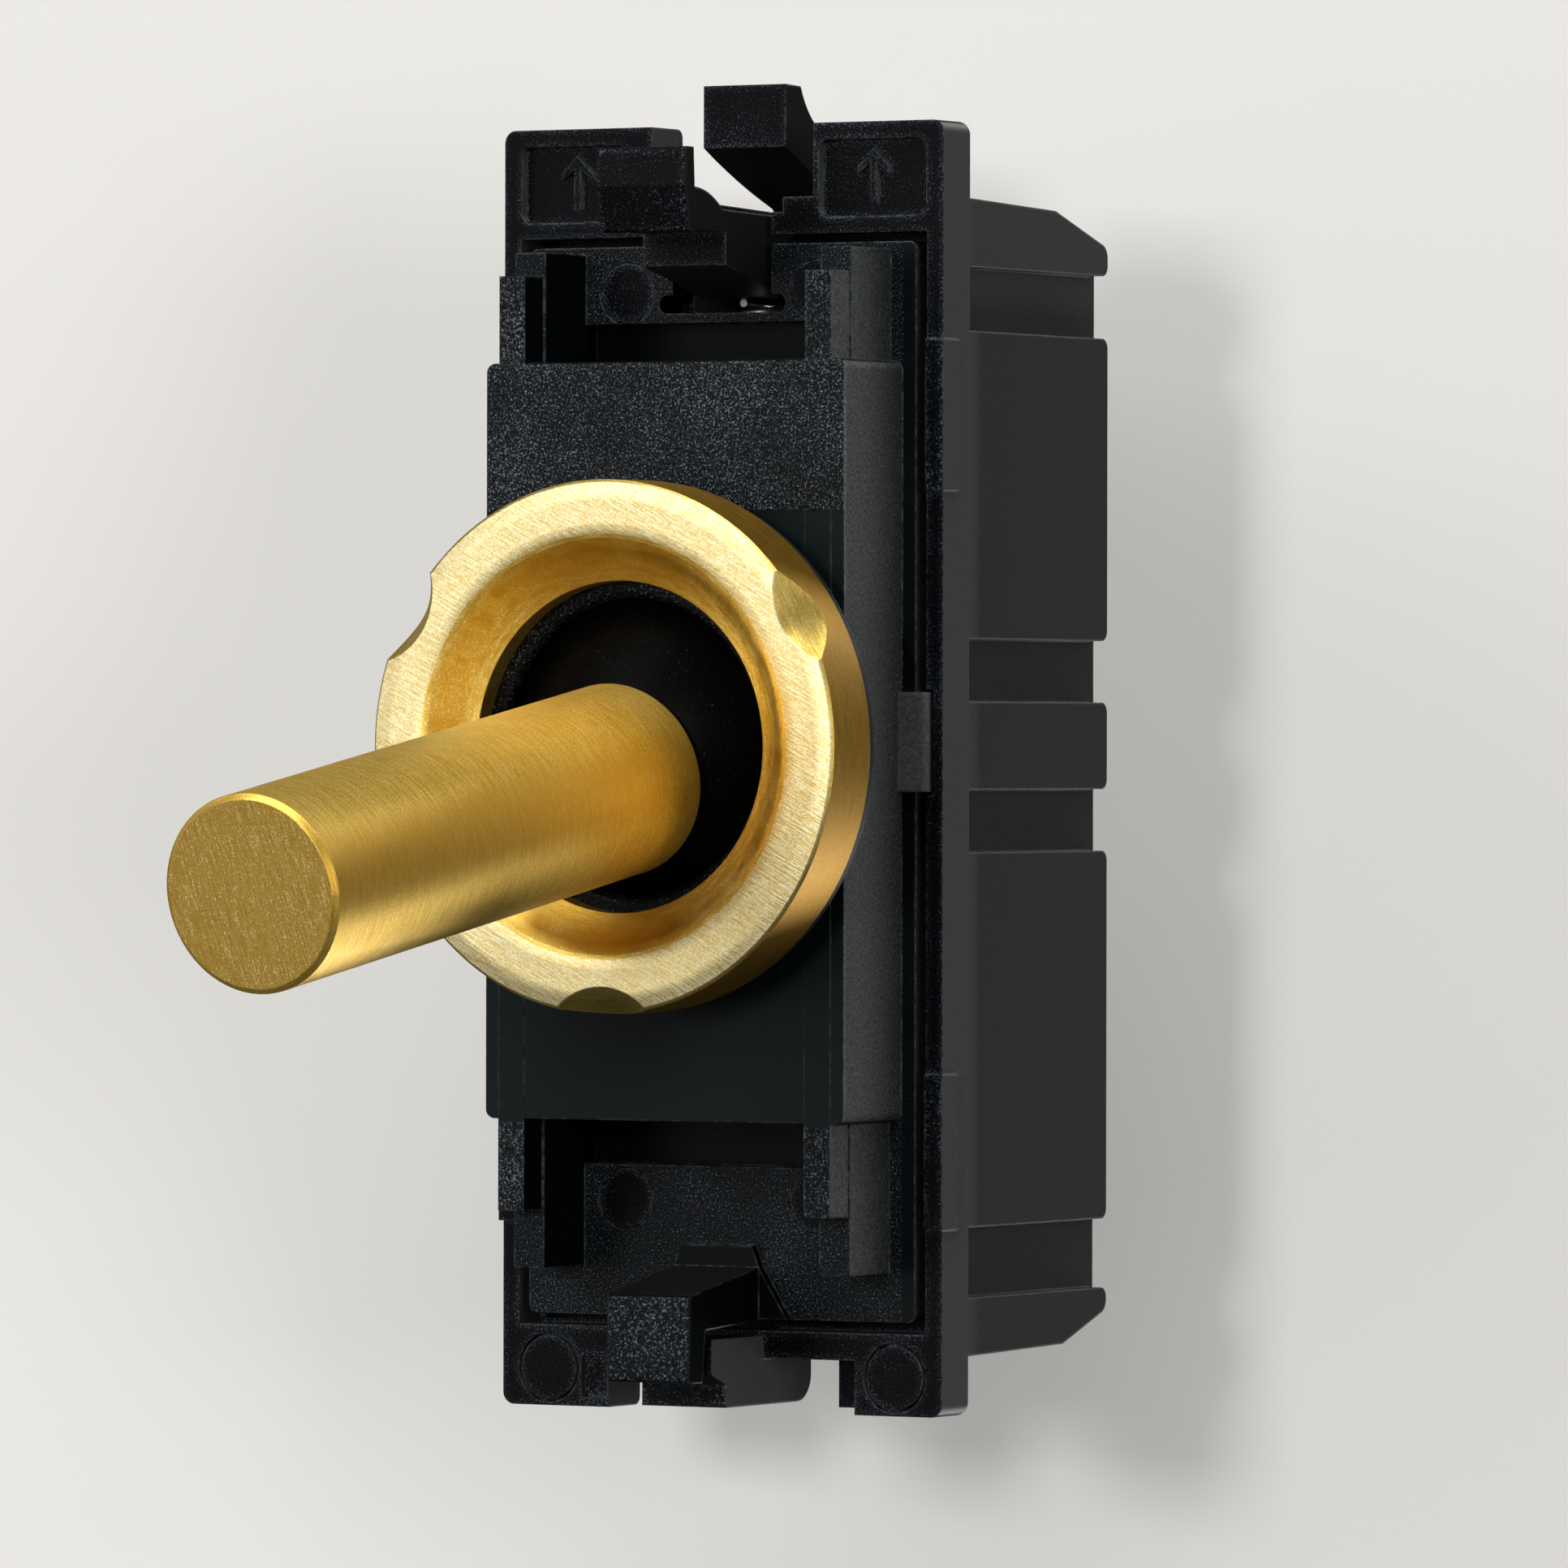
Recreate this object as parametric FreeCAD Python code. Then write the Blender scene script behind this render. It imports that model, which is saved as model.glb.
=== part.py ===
import FreeCAD, Part
import math
import os

# Toggle light switch module for a grid frame. All sizes are in millimetres.
# X points right, Y points into the wall, Z points up.
# The origin lies on the ring's axis, in the plane of the flange's front face.

V = FreeCAD.Vector
X_AXIS = V(1, 0, 0)
Y_AXIS = V(0, 1, 0)
Z_AXIS = V(0, 0, 1)
EXTRA = 1.0
ALL = 60.0
OVERLAP = 0.1
NEAR = 0.01

# Flange
FLANGE_HALF_W = 12.0
FLANGE_TOP = 29.35
FLANGE_BOTTOM = -31.35
FLANGE_T = 2.85
FLANGE_CORNER_R = 0.6
FLANGE_REAR_R = 0.45
RIM_W = 0.9
POCKET_HALF_W = FLANGE_HALF_W - RIM_W
POCKET_TOP = 24.15
POCKET_BOTTOM = -27.5
POCKET_DEPTH = 2.0
TOP_NOTCH_LEFT = -3.85
TOP_NOTCH_RIGHT = 4.95
TOP_NOTCH_FLOOR = 25.2
NOTCH_STEP_LEFT = 3.3
NOTCH_STEP_TOP = 25.9
BOTTOM_BAR_Z = -28.8
LEFT_FOOT_RIGHT = -6.1
RIGHT_FOOT_LEFT = 7.3
FOOT_LIP_LEFT = 5.6
FOOT_LIP_FRONT = 1.5
FOOT_LIP_BOTTOM = -31.1
PANEL_INNER = 5.25
PANEL_MARGIN = 0.95
PANEL_OUTER = FLANGE_HALF_W - PANEL_MARGIN
PANEL_BOTTOM = 24.9
PANEL_TOP = 28.55
PANEL_DEPTH = 0.5
PANEL_CORNER_R = 0.5
ARROW_X = 8.1
ARROW_HALF_W = 0.85
ARROW_LINE_W = 0.36
ARROW_HEIGHT = 0.3
ARROW_BOTTOM = 25.5
ARROW_TOP = 28.1
DISC_R = 1.52
DISC_LINE_W = 0.14
DISC_LINE_DEPTH = 0.25
FOOT_DISC_X = 9.45
FOOT_DISC_Z = -29.55
FOOT_RECESS = (-7.65, -6.25, -30.9, -28.95)
FOOT_RECESS_DEPTH = 0.35
PAD_RISE = 0.25
PAD_OUT = 0.12
PAD_W = 0.85
PAD_INNER = FLANGE_HALF_W - PAD_W
PAD_DEPTH = 1.4
PADS_Z = ((12.0, 19.1), (-22.6, -15.3))

# Tongue below the flange
TONGUE_HALF_W = 2.3
TONGUE_FRONT = -4.7
TONGUE_LIP_FRONT = -3.35
TONGUE_REAR = 4.6
TONGUE_TOP = -27.75
TONGUE_STEP_Z = -29.4
TONGUE_STEP_DROP = 0.5
TONGUE_BOTTOM = -31.0
TONGUE_REAR_R = 1.3

# Rear housing
BODY_INSET = 0.8
BODY_HALF_W = FLANGE_HALF_W - BODY_INSET
GROOVE_DEPTH = 0.75
BODY_GROOVE_HALF_W = BODY_HALF_W - GROOVE_DEPTH
BODY_BACK = 17.5
BODY_START = 2.0
BODY_PROFILE = (
    (BODY_START, 25.9), (12.3, 25.55), (BODY_BACK, 23.95),
    (BODY_BACK, -26.95), (13.2, -28.45), (BODY_START, -28.7),
)
GROOVES_Z = ((19.6, 22.6), (2.15, 5.1), (-4.95, -2.0), (-25.9, -22.6))
GROOVE_START = 3.6
BLOCK_CORNER_R = 0.5
NOSE_R = 0.7
BODY_WALL_T = 2.0
CAVITY_HALF_W = BODY_HALF_W - BODY_WALL_T
CAVITY_TOP = 23.0
CAVITY_BOTTOM = -25.5
CAVITY_BACK = 16.1
RIB_T = 1.2

# Cover
PLATE_GAP = 0.55
PLATE_HALF_W = POCKET_HALF_W - PLATE_GAP
PLATE_TOP = 23.7
PLATE_BOTTOM = -26.95
PLATE_CORNER_R = 0.4
BLOCK_HALF_W = 9.78
BLOCK_FRONT = -5.42
BLOCK_TOP = 18.08
BLOCK_BOTTOM = -17.56
BLOCK_EDGE_R = 0.45
FIELD_LINE_Z = 11.05
FIELD_STEP = 0.08
POST_OUTER = 9.03
POST_INNER = 7.62
POST_FRONT = -5.37
POST_TOP = 22.2
POST_BOTTOM = -21.9
RIB_INNER = 7.5
RIB_OUTER = 9.15
RIB_FRONT = -3.7
RIB_TOP = 23.35
RIB_BOTTOM = -24.65
TRENCH_DEPTH = 1.2
TRENCHES_Z = ((BLOCK_TOP, 20.05), (-19.8, BLOCK_BOTTOM))
TAB_HALF_H = 2.33
TAB_MID_Z = 0.24
TAB_REACH = 0.25
TAB_OUTER = POCKET_HALF_W + TAB_REACH
TAB_EDGE_R = 0.3
TAB_RISE = 0.35
TAB_DEPTH = 1.0
TAB_GAP = 0.15
SLOT_HALF_W = 3.45
SLOT_BOTTOM = 20.5
SLOT_TOP = 21.35
SLOT_CORNER_R = 0.4
HOOK_HALF_W = 2.3
HOOK_FRONT = -6.75
HOOK_ROOT_Y = 0.5
HOOK_ROOT_TOP = -24.45
HOOK_PROFILE = (
    (HOOK_FRONT, -25.65), (0, HOOK_ROOT_TOP), (HOOK_ROOT_Y, HOOK_ROOT_TOP),
    (HOOK_ROOT_Y, PLATE_BOTTOM), (-5.3, -27.3), (-5.6, -29.74), (HOOK_FRONT, -29.74),
)
HOOK_EDGE_R = 0.25
ROOT_RISE = 0.4
ROOT_TOP = -23.5
ROOT_TOP_HALF_W = 1.95
ROOT_FOOT_HALF_W = 3.85

# Studs that hold the cover, seen as round marks
STUD_R = 1.43
STUD_GAP = 0.05
STUD_X = 5.2
STUD_TOP_Z = 21.5
STUD_BOTTOM_Z = -21.4
STUD_COLUMN_R = 2.5

# Collar, ring and washer
RING_R = 12.44
NUT_WALL = 2.74
COLLAR_R = RING_R - NUT_WALL
COLLAR_FRONT = -8.35
COLLAR_WALL = 2.75
COLLAR_OPENING_R = COLLAR_R - COLLAR_WALL
COLLAR_LIP_R = 0.35
COLLAR_CHAMFER = 0.3
THREAD_DEPTH = 0.22
THREAD_PITCH = 0.75
THREAD_TURNS = 3
THREAD_LAND = 0.1
THREAD_FIT = 0.06
RING_FRONT = -11.09
RING_BACK = -7.5
RING_EDGE = 0.14
RING_FACE_W = 2.82
RING_FACE_R = RING_R - RING_FACE_W
RING_HOLE_GAP = 0.79
RING_HOLE_R = COLLAR_OPENING_R + RING_HOLE_GAP
RING_HOLE_FRONT = -9.42
RING_SHOULDER = COLLAR_FRONT
COVE_SAG = 0.22
CREST_R = 1.4
NOTCH_ANGLES = (30.0, 150.0, 270.0)
NOTCH_OUT = 2.06
NOTCH_CENTRE_R = RING_R + NOTCH_OUT
NOTCH_MOUTH_R = 3.36
NOTCH_SLOPE = 0.684
WASHER_T = 0.5
WASHER_INSET = 0.14
WASHER_R = RING_R - WASHER_INSET

# Lever and dome
PIVOT_Y = -0.22
TILT = 9.08
LEVER_R = 4.525
LEVER_END = 41.6
LEVER_BEVEL = 0.25
LEVER_BASE = 8.0
LEVER_BASE_ROUND = 0.5
DOME_R = 10.0
DOME_GAP = 0.3
DOME_HALF_ANGLE = 57.0
DOME_SIDE_GAP = 0.4
DOME_INSET = 1.8
DOME_HALF_W = CAVITY_HALF_W - DOME_INSET
HUB_R = 3.2
HUB_END = 7.0
HUB_WEB_HALF_H = 1.9
STEM_R = 1.5
STEM_FRONT = 16.0
STEM_REAR = 5.8
PIVOT_PIN_R = 1.25
PIN_PAST_DOME = 1.6
PIVOT_PIN_HALF_L = DOME_HALF_W + PIN_PAST_DOME
PIVOT_FIT = 0.05

# Plunger and its spring
PLUNGER_BORE_R = 1.9
PLUNGER_BORE_START = 2.2
PLUNGER_FIT = 0.05
PLUNGER_START = 5.0
PLUNGER_SHOULDER = 7.6
PLUNGER_TIP_R = 1.3
PLUNGER_REACH = 9.5
PLUNGER_SPRING_R = 1.35
PLUNGER_SPRING_WIRE_R = 0.2
PLUNGER_SPRING_COILS = 3.5

# Rocker
ROCKER_PIVOT_Y = 11.4
ROCKER_SWING = 8.0
BLADE_FRONT = 8.9
BLADE_T = 0.8
BLADE_HALF_L = 12.0
BLADE_HALF_W = 2.4
BLADE_CORNER_R = 1.2
CRADLE_HALF_H = 2.3
CRADLE_BACK = 10.4
CRADLE_AXIS_Y = 6.6
CRADLE_GAP = 0.12
LUG_T = 0.8
LUG_R = 1.45
ROCKER_PIN_R = 0.7
ROCKER_PIN_FIT = 0.05
ROCKER_PIN_HALF_L = 3.9
TIP_FROM_END = 1.7
TIP_Z = BLADE_HALF_L - TIP_FROM_END
TIP_R = 1.55
TIP_T = 0.7
CONTACT_GAP = 0.05

# Terminals
BLOCK_X = (-CAVITY_HALF_W, -2.7)
BLOCK_Y = (9.4, CAVITY_BACK)
UPPER_TERMINAL_Z = 14.4
LOWER_TERMINAL_Z = -14.4
COMMON_TERMINAL_Z = -7.4
TERMINAL_HALF_H = 2.85
WIRE_X = -4.95
WIRE_R = 1.5
WIRE_ENTRY_R = 1.9
WIRE_FUNNEL_R = 2.5
WIRE_FUNNEL_DEPTH = 0.6
BLOCK_ROUND_R = 0.3
RIB_SHORT = 0.6
HOLD_HALF_H = 1.85
HOLD_WALL_GAP = 0.6
HOLD_W = 3.4
HOLD_X = (-CAVITY_HALF_W + HOLD_WALL_GAP, -CAVITY_HALF_W + HOLD_WALL_GAP + HOLD_W)
HOLD_DOME_GAP = 0.2
HOLD_COMMON_X = (-CAVITY_HALF_W + OVERLAP, -DOME_HALF_W - DOME_SIDE_GAP - HOLD_DOME_GAP)
ARM_T = 0.9
ARM_X = (-2.2, 2.2)
ARM_BEFORE_TIP = 1.8
ARM_PAST_TIP = 3.1
ARM_NECK_OFFSET = 1.45
ARM_INNER_Z = TIP_Z - ARM_BEFORE_TIP
ARM_OUTER_Z = TIP_Z + ARM_PAST_TIP
ARM_NECK_INNER_Z = TIP_Z + ARM_NECK_OFFSET
ARM_NECK_X = -4.5
FORK_INNER = 2.7
FORK_OUTER = 3.7
FORK_END_R = 1.6
FORK_PLATE_Y = (13.2, 14.2)
FORK_PLATE_INSET = 0.6
FORK_PLATE_LEFT = BLOCK_X[0] + FORK_PLATE_INSET
FORK_PLATE_Z = (-5.0, 3.5)

# Terminal screws
SCREW_Y = 12.75
SCREW_R = 1.4
SCREW_FIT = 0.06
SCREW_TIP_GAP = 0.1
SCREW_TIP_X = WIRE_X - WIRE_R - SCREW_TIP_GAP
SCREW_HEAD_R = 1.85
SCREW_HEAD_GAP = 0.1
SCREW_HEAD_SINK = 0.45
SCREW_HEAD_X = (-BODY_HALF_W + SCREW_HEAD_SINK, -CAVITY_HALF_W - SCREW_HEAD_GAP)
SCREW_SLOT_W = 0.55
SCREW_SLOT_DEPTH = 0.7
SCREW_HOLE_R = 2.2
SCREW_CHAMFER = 0.2

# Latch
LATCH_TAB_HALF_W = 2.44
LATCH_HALF_W = 2.25
LATCH_SIDE_GAP = 0.45
LATCH_PIVOT = (6.5, 22.6)
LATCH_TAB_PROFILE = (
    (-7.15, 24.05), (-7.62, 26.2), (-7.55, 28.0), (-6.8, 28.0), (-6.6, 24.05),
)
LATCH_SEAT_Z = 21.3
LATCH_UNDER_START = (2.0, LATCH_SEAT_Z)
LATCH_START = (-3.5, 24.15)
# Each step of the beam's outline ends at its last point, and one with two points is an arc through the first.
LATCH_BEAM_STEPS = (
    ((-6.9, 24.15),),
    ((-6.9, 26.15),),
    ((-4.9, 25.85), (-3.8, 25.2)),
    ((8.0, 24.9),),
    ((8.85, 25.2), (8.5, 25.8)),
    ((5.2, 27.0), (2.1, 28.4)),
    ((2.1, 31.35),),
    ((3.5, 31.3),),
    ((4.65, 29.75), (6.3, 28.9)),
    ((10.5, 27.0), (11.7, 24.6)),
    ((10.9, 22.5), (8.6, 21.4)),
    ((6.7, 21.0), (4.9, LATCH_SEAT_Z)),
    (LATCH_UNDER_START,),
    ((-3.5, 22.6),),
    (LATCH_START,),
)
LATCH_EDGE_R = 0.2
LATCH_PIN_R = 0.8
LATCH_PIN_FIT = 0.06
LATCH_PIN_HALF_L = 4.8
LATCH_SLOT_STEP = 0.4
CHANNEL_WALL_OUTER = 7.3
CHANNEL_WALL_BOTTOM = 19.6
CHANNEL_BACK = 14.0
LATCH_SPRING_Y = 3.9
LATCH_SPRING_R = 1.1
LATCH_SPRING_WIRE_R = 0.2
LATCH_SPRING_COILS = 4.5
SHELF_Z = (16.5, 17.7)
SHELF_DEPTH = 5.4


def box(x, y, z):
    """A block between two values on each axis."""
    return Part.makeBox(x[1] - x[0], y[1] - y[0], z[1] - z[0], V(x[0], y[0], z[0]))


def rod_x(radius, x, y, z):
    """A round bar along X between two values."""
    return Part.makeCylinder(radius, x[1] - x[0], V(x[0], y, z), X_AXIS)


def rod_y(radius, y, x, z):
    """A round bar along Y between two values."""
    return Part.makeCylinder(radius, y[1] - y[0], V(x, y[0], z), Y_AXIS)


def side_profile(points, half_width):
    """A closed outline of (y, z) points drawn out evenly to both sides of X = 0."""
    corners = [V(-half_width, y, z) for y, z in points]
    face = Part.Face(Part.makePolygon(corners + [corners[0]]))
    return face.extrude(V(2 * half_width, 0, 0))


def front_outline(points, y):
    """A closed outline of (x, z) points drawn out between two values on Y."""
    corners = [V(px, y[0], pz) for px, pz in points]
    face = Part.Face(Part.makePolygon(corners + [corners[0]]))
    return face.extrude(V(0, y[1] - y[0], 0))


def curved_profile(start, steps, half_width):
    """A closed outline of lines and arcs through (y, z) points, drawn out evenly to both sides of X = 0."""
    at = V(-half_width, *start)
    edges = []
    for step in steps:
        points = [at] + [V(-half_width, y, z) for y, z in step]
        edges.append(Part.Arc(*points).toShape() if len(step) == 2 else Part.makeLine(*points))
        at = points[-1]
    return Part.Face(Part.Wire(edges)).extrude(V(2 * half_width, 0, 0))


def turned(points):
    """A closed outline of (radius, y) points turned round the Y axis."""
    corners = [V(r, y, 0) for r, y in points]
    face = Part.Face(Part.makePolygon(corners + [corners[0]]))
    return face.revolve(V(0, 0, 0), Y_AXIS, 360)


def joined(first, *others):
    """One solid made from solids that overlap."""
    return first.fuse(list(others)).removeSplitter()


def rounded(shape, radius, chosen):
    """The shape with a fillet on each edge that the test picks."""
    return shape.makeFillet(radius, [edge for edge in shape.Edges if chosen(edge)])


def runs_along(edge, axis):
    """True for a straight edge along the axis."""
    if len(edge.Vertexes) != 2:
        return False
    step = edge.Vertexes[1].Point.sub(edge.Vertexes[0].Point)
    return step.Length > 0 and abs(step.normalize().dot(axis)) > 0.999


def rounded_box(x, y, z, radius, axis):
    """A block whose edges along one axis are rounded."""
    return rounded(box(x, y, z), radius, lambda edge: runs_along(edge, axis))


def mirrored_x(shape):
    """The shape's mirror image in the plane X = 0."""
    return shape.mirror(V(0, 0, 0), X_AXIS)


def mirrored_z(shape):
    """The shape's mirror image in the plane Z = 0."""
    return shape.mirror(V(0, 0, 0), Z_AXIS)


def coil(radius, wire_radius, length, coils):
    """A round-wire spring that stands on Z = 0."""
    height = length - 2 * wire_radius
    path = Part.makeHelix(height / coils, height, radius)
    wire = Part.Wire(Part.makeCircle(wire_radius, V(radius, 0, 0), Y_AXIS))
    spring = Part.Wire(path.Edges).makePipeShell([wire], True, True)
    spring.translate(V(0, 0, wire_radius))
    return spring


def tilted(shape):
    """A part of the toggle, built level, put at its resting tilt."""
    moved = shape.copy()
    moved.rotate(V(0, PIVOT_Y, 0), X_AXIS, TILT)
    return moved


def rocked(shape):
    """A part of the rocker, built upright, put at its resting angle."""
    moved = shape.copy()
    moved.rotate(V(0, ROCKER_PIVOT_Y, 0), X_AXIS, -ROCKER_SWING)
    return moved


def up_arrow(x):
    """A raised arrow that points to the upper edge."""
    y = (PANEL_DEPTH - ARROW_HEIGHT, PANEL_DEPTH + OVERLAP)
    half = ARROW_LINE_W / 2
    barb = ARROW_TOP - ARROW_HALF_W
    inner_tip = ARROW_TOP - ARROW_LINE_W * math.sqrt(2)
    shaft = box((x - half, x + half), y, (ARROW_BOTTOM, inner_tip))
    head = front_outline((
        (x - ARROW_HALF_W, barb), (x, ARROW_TOP), (x + ARROW_HALF_W, barb),
        (x + ARROW_HALF_W, barb - ARROW_LINE_W), (x, inner_tip), (x - ARROW_HALF_W, barb - ARROW_LINE_W)), y)
    return shaft.fuse(head)


def round_line(x, z, depth):
    """The thin ring-shaped cut round a disc mark."""
    outer = rod_y(DISC_R + DISC_LINE_W, (-EXTRA, depth), x, z)
    return outer.cut(rod_y(DISC_R, (-EXTRA, depth), x, z))


def flange_outline_cuts():
    """What the ears' notch and the space between the feet take out of the flange."""
    through = (-EXTRA, FLANGE_T + EXTRA)
    return [
        box((TOP_NOTCH_LEFT, NOTCH_STEP_LEFT), through, (TOP_NOTCH_FLOOR, ALL)),
        box((NOTCH_STEP_LEFT - OVERLAP, TOP_NOTCH_RIGHT), through, (NOTCH_STEP_TOP, ALL)),
        box((LEFT_FOOT_RIGHT, FOOT_LIP_LEFT), through, (-ALL, BOTTOM_BAR_Z)),
        box((FOOT_LIP_LEFT - OVERLAP, RIGHT_FOOT_LEFT), (-EXTRA, FOOT_LIP_FRONT), (-ALL, BOTTOM_BAR_Z)),
        box((FOOT_LIP_LEFT - OVERLAP, RIGHT_FOOT_LEFT), through, (-ALL, FOOT_LIP_BOTTOM)),
    ]


def flange():
    """The flat frame with its two ears, two feet and the pocket for the cover."""
    plate = rounded_box((-FLANGE_HALF_W, FLANGE_HALF_W), (0, FLANGE_T), (FLANGE_BOTTOM, FLANGE_TOP),
                        FLANGE_CORNER_R, Y_AXIS)
    plate = rounded(plate, FLANGE_REAR_R, lambda edge: edge.BoundBox.YMin > FLANGE_T - NEAR)
    cuts = flange_outline_cuts() + [
        box((-POCKET_HALF_W, POCKET_HALF_W), (-EXTRA, POCKET_DEPTH), (POCKET_BOTTOM, POCKET_TOP)),
        box(FOOT_RECESS[0:2], (-EXTRA, FOOT_RECESS_DEPTH), FOOT_RECESS[2:4]),
        round_line(-FOOT_DISC_X, FOOT_DISC_Z, DISC_LINE_DEPTH),
        round_line(FOOT_DISC_X, FOOT_DISC_Z, DISC_LINE_DEPTH),
    ]
    for side in ((-PANEL_OUTER, -PANEL_INNER), (PANEL_INNER, PANEL_OUTER)):
        cuts.append(rounded_box(side, (-EXTRA, PANEL_DEPTH), (PANEL_BOTTOM, PANEL_TOP), PANEL_CORNER_R, Y_AXIS))
    plate = plate.cut(cuts)
    pads = []
    for z in PADS_Z:
        pad = box((PAD_INNER, FLANGE_HALF_W + PAD_OUT), (-PAD_RISE, PAD_DEPTH), z)
        pads += [pad, mirrored_x(pad)]
    return plate.fuse(pads + [up_arrow(-ARROW_X), up_arrow(ARROW_X)])


def tongue():
    """The rounded tongue under the flange that goes behind the grid frame's lower edge."""
    points = (
        (TONGUE_FRONT, TONGUE_TOP), (TONGUE_FRONT, TONGUE_STEP_Z),
        (TONGUE_LIP_FRONT, TONGUE_STEP_Z - TONGUE_STEP_DROP), (TONGUE_LIP_FRONT, TONGUE_BOTTOM),
        (TONGUE_REAR, TONGUE_BOTTOM), (TONGUE_REAR, TONGUE_TOP),
    )
    bar = side_profile(points, TONGUE_HALF_W)

    def rear_corner(edge):
        return edge.BoundBox.YMin > TONGUE_REAR - NEAR and edge.BoundBox.ZMax < TONGUE_BOTTOM + NEAR

    return rounded(bar, TONGUE_REAR_R, rear_corner)


def body_shell():
    """The box behind the flange, with grooves across its sides."""
    solid = side_profile(BODY_PROFILE, BODY_HALF_W)

    def at_back(edge):
        return runs_along(edge, X_AXIS) and edge.BoundBox.YMin > BODY_BACK - NEAR

    solid = rounded(solid, NOSE_R, at_back)
    cuts = []
    for z in GROOVES_Z:
        groove = box((BODY_GROOVE_HALF_W, ALL), (GROOVE_START, ALL), z)
        cuts += [groove, mirrored_x(groove)]
    solid = solid.cut(cuts)

    return rounded(solid, BLOCK_CORNER_R, lambda edge: at_back(edge) and edge.Length < 2 * GROOVE_DEPTH)


def channel_cut():
    """The space that the latch moves in, open at the top."""
    half = LATCH_HALF_W + LATCH_SIDE_GAP
    return box((-half, half), (-EXTRA, CHANNEL_BACK), (SLOT_BOTTOM, ALL))


def terminal_ribs():
    """The ribs above, below and between the terminals."""
    reach = (-CAVITY_HALF_W - OVERLAP, ARM_NECK_X - RIB_SHORT)
    depth = (BLOCK_Y[0], CAVITY_BACK + OVERLAP)
    upper = (UPPER_TERMINAL_Z - TERMINAL_HALF_H, UPPER_TERMINAL_Z + TERMINAL_HALF_H)
    lower = (LOWER_TERMINAL_Z - TERMINAL_HALF_H, LOWER_TERMINAL_Z + TERMINAL_HALF_H)
    common = COMMON_TERMINAL_Z - TERMINAL_HALF_H
    return [
        box(reach, depth, (upper[1], upper[1] + RIB_T)),
        box(reach, depth, (upper[0] - RIB_T, upper[0])),
        box(reach, depth, (lower[1], common)),
        box(reach, depth, (lower[0] - RIB_T, lower[0])),
    ]


def wire_entry(z):
    """The hole in the back wall for one wire."""
    hole = rod_y(WIRE_ENTRY_R, (CAVITY_BACK - EXTRA, BODY_BACK + EXTRA), WIRE_X, z)
    mouth = Part.makeCone(WIRE_ENTRY_R, WIRE_FUNNEL_R, WIRE_FUNNEL_DEPTH,
                          V(WIRE_X, BODY_BACK - WIRE_FUNNEL_DEPTH, z), Y_AXIS)
    return hole.fuse(mouth)


def channel_walls():
    """The walls beside and behind the latch, and the shelf that its spring stands on."""
    depth = (POCKET_DEPTH, CHANNEL_BACK + RIB_T)
    height = (CHANNEL_WALL_BOTTOM, CAVITY_TOP + OVERLAP)
    wall = box((LATCH_HALF_W + LATCH_SIDE_GAP, CHANNEL_WALL_OUTER), depth, height)
    end_wall = box((-CHANNEL_WALL_OUTER, CHANNEL_WALL_OUTER), (CHANNEL_BACK, depth[1]), height)
    reach = CAVITY_HALF_W + OVERLAP
    shelf = box((-reach, reach), (POCKET_DEPTH, POCKET_DEPTH + SHELF_DEPTH), SHELF_Z)
    return [wall, mirrored_x(wall), end_wall, shelf]


def studs():
    """The four studs through the cover, and the columns behind the lower two."""
    made = []
    for x in (-STUD_X, STUD_X):
        made.append(rod_y(STUD_COLUMN_R, (POCKET_DEPTH, CAVITY_BACK + OVERLAP), x, STUD_BOTTOM_Z))
        for z in (STUD_BOTTOM_Z, STUD_TOP_Z):
            made.append(rod_y(STUD_R, (0, POCKET_DEPTH + OVERLAP), x, z))
    return made


def tab_seats():
    """The seats in the rim for the cover's two locating tabs."""
    half = TAB_HALF_H + TAB_GAP
    seat = box((PLATE_HALF_W - EXTRA, TAB_OUTER + TAB_GAP), (-EXTRA, TAB_DEPTH + TAB_GAP),
               (TAB_MID_Z - half, TAB_MID_Z + half))
    return [seat, mirrored_x(seat)]


def housing():
    """The rear moulding: flange, tongue and the box that holds the contacts."""
    cavity = box((-CAVITY_HALF_W, CAVITY_HALF_W), (BODY_START - EXTRA, CAVITY_BACK), (CAVITY_BOTTOM, CAVITY_TOP))
    shell = joined(flange(), body_shell(), tongue()).cut(cavity)
    shell = shell.fuse(channel_walls() + terminal_ribs() + studs())
    pin_hole = rod_x(LATCH_PIN_R, (-LATCH_PIN_HALF_L, LATCH_PIN_HALF_L), *LATCH_PIVOT)
    cuts = [channel_cut(), pin_hole] + tab_seats()
    for z in (UPPER_TERMINAL_Z, COMMON_TERMINAL_Z, LOWER_TERMINAL_Z):
        cuts.append(wire_entry(z))
        cuts.append(rod_x(SCREW_HOLE_R, (-ALL, -CAVITY_HALF_W + OVERLAP), SCREW_Y, z))
    return shell.cut(cuts).removeSplitter()


def side_walls():
    """The two walls that stand above and below the raised block, with their lower outer ribs."""
    wall = box((POST_INNER, POST_OUTER), (POST_FRONT, EXTRA), (POST_BOTTOM, POST_TOP))
    rib = box((RIB_INNER, RIB_OUTER), (RIB_FRONT, EXTRA), (RIB_BOTTOM, RIB_TOP))
    return [wall, rib, mirrored_x(wall), mirrored_x(rib)]


def raised_block():
    """The block that stands in the window of the grid frame."""
    block = rounded_box((-BLOCK_HALF_W, BLOCK_HALF_W), (BLOCK_FRONT, EXTRA), (BLOCK_BOTTOM, BLOCK_TOP),
                        BLOCK_EDGE_R, Y_AXIS)
    block = rounded(block, BLOCK_EDGE_R / 2, lambda edge: edge.BoundBox.YMax < BLOCK_FRONT + NEAR)
    lower_field = box((-ALL, ALL), (-ALL, BLOCK_FRONT + FIELD_STEP), (-ALL, FIELD_LINE_Z))
    return block.cut(lower_field)


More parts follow.
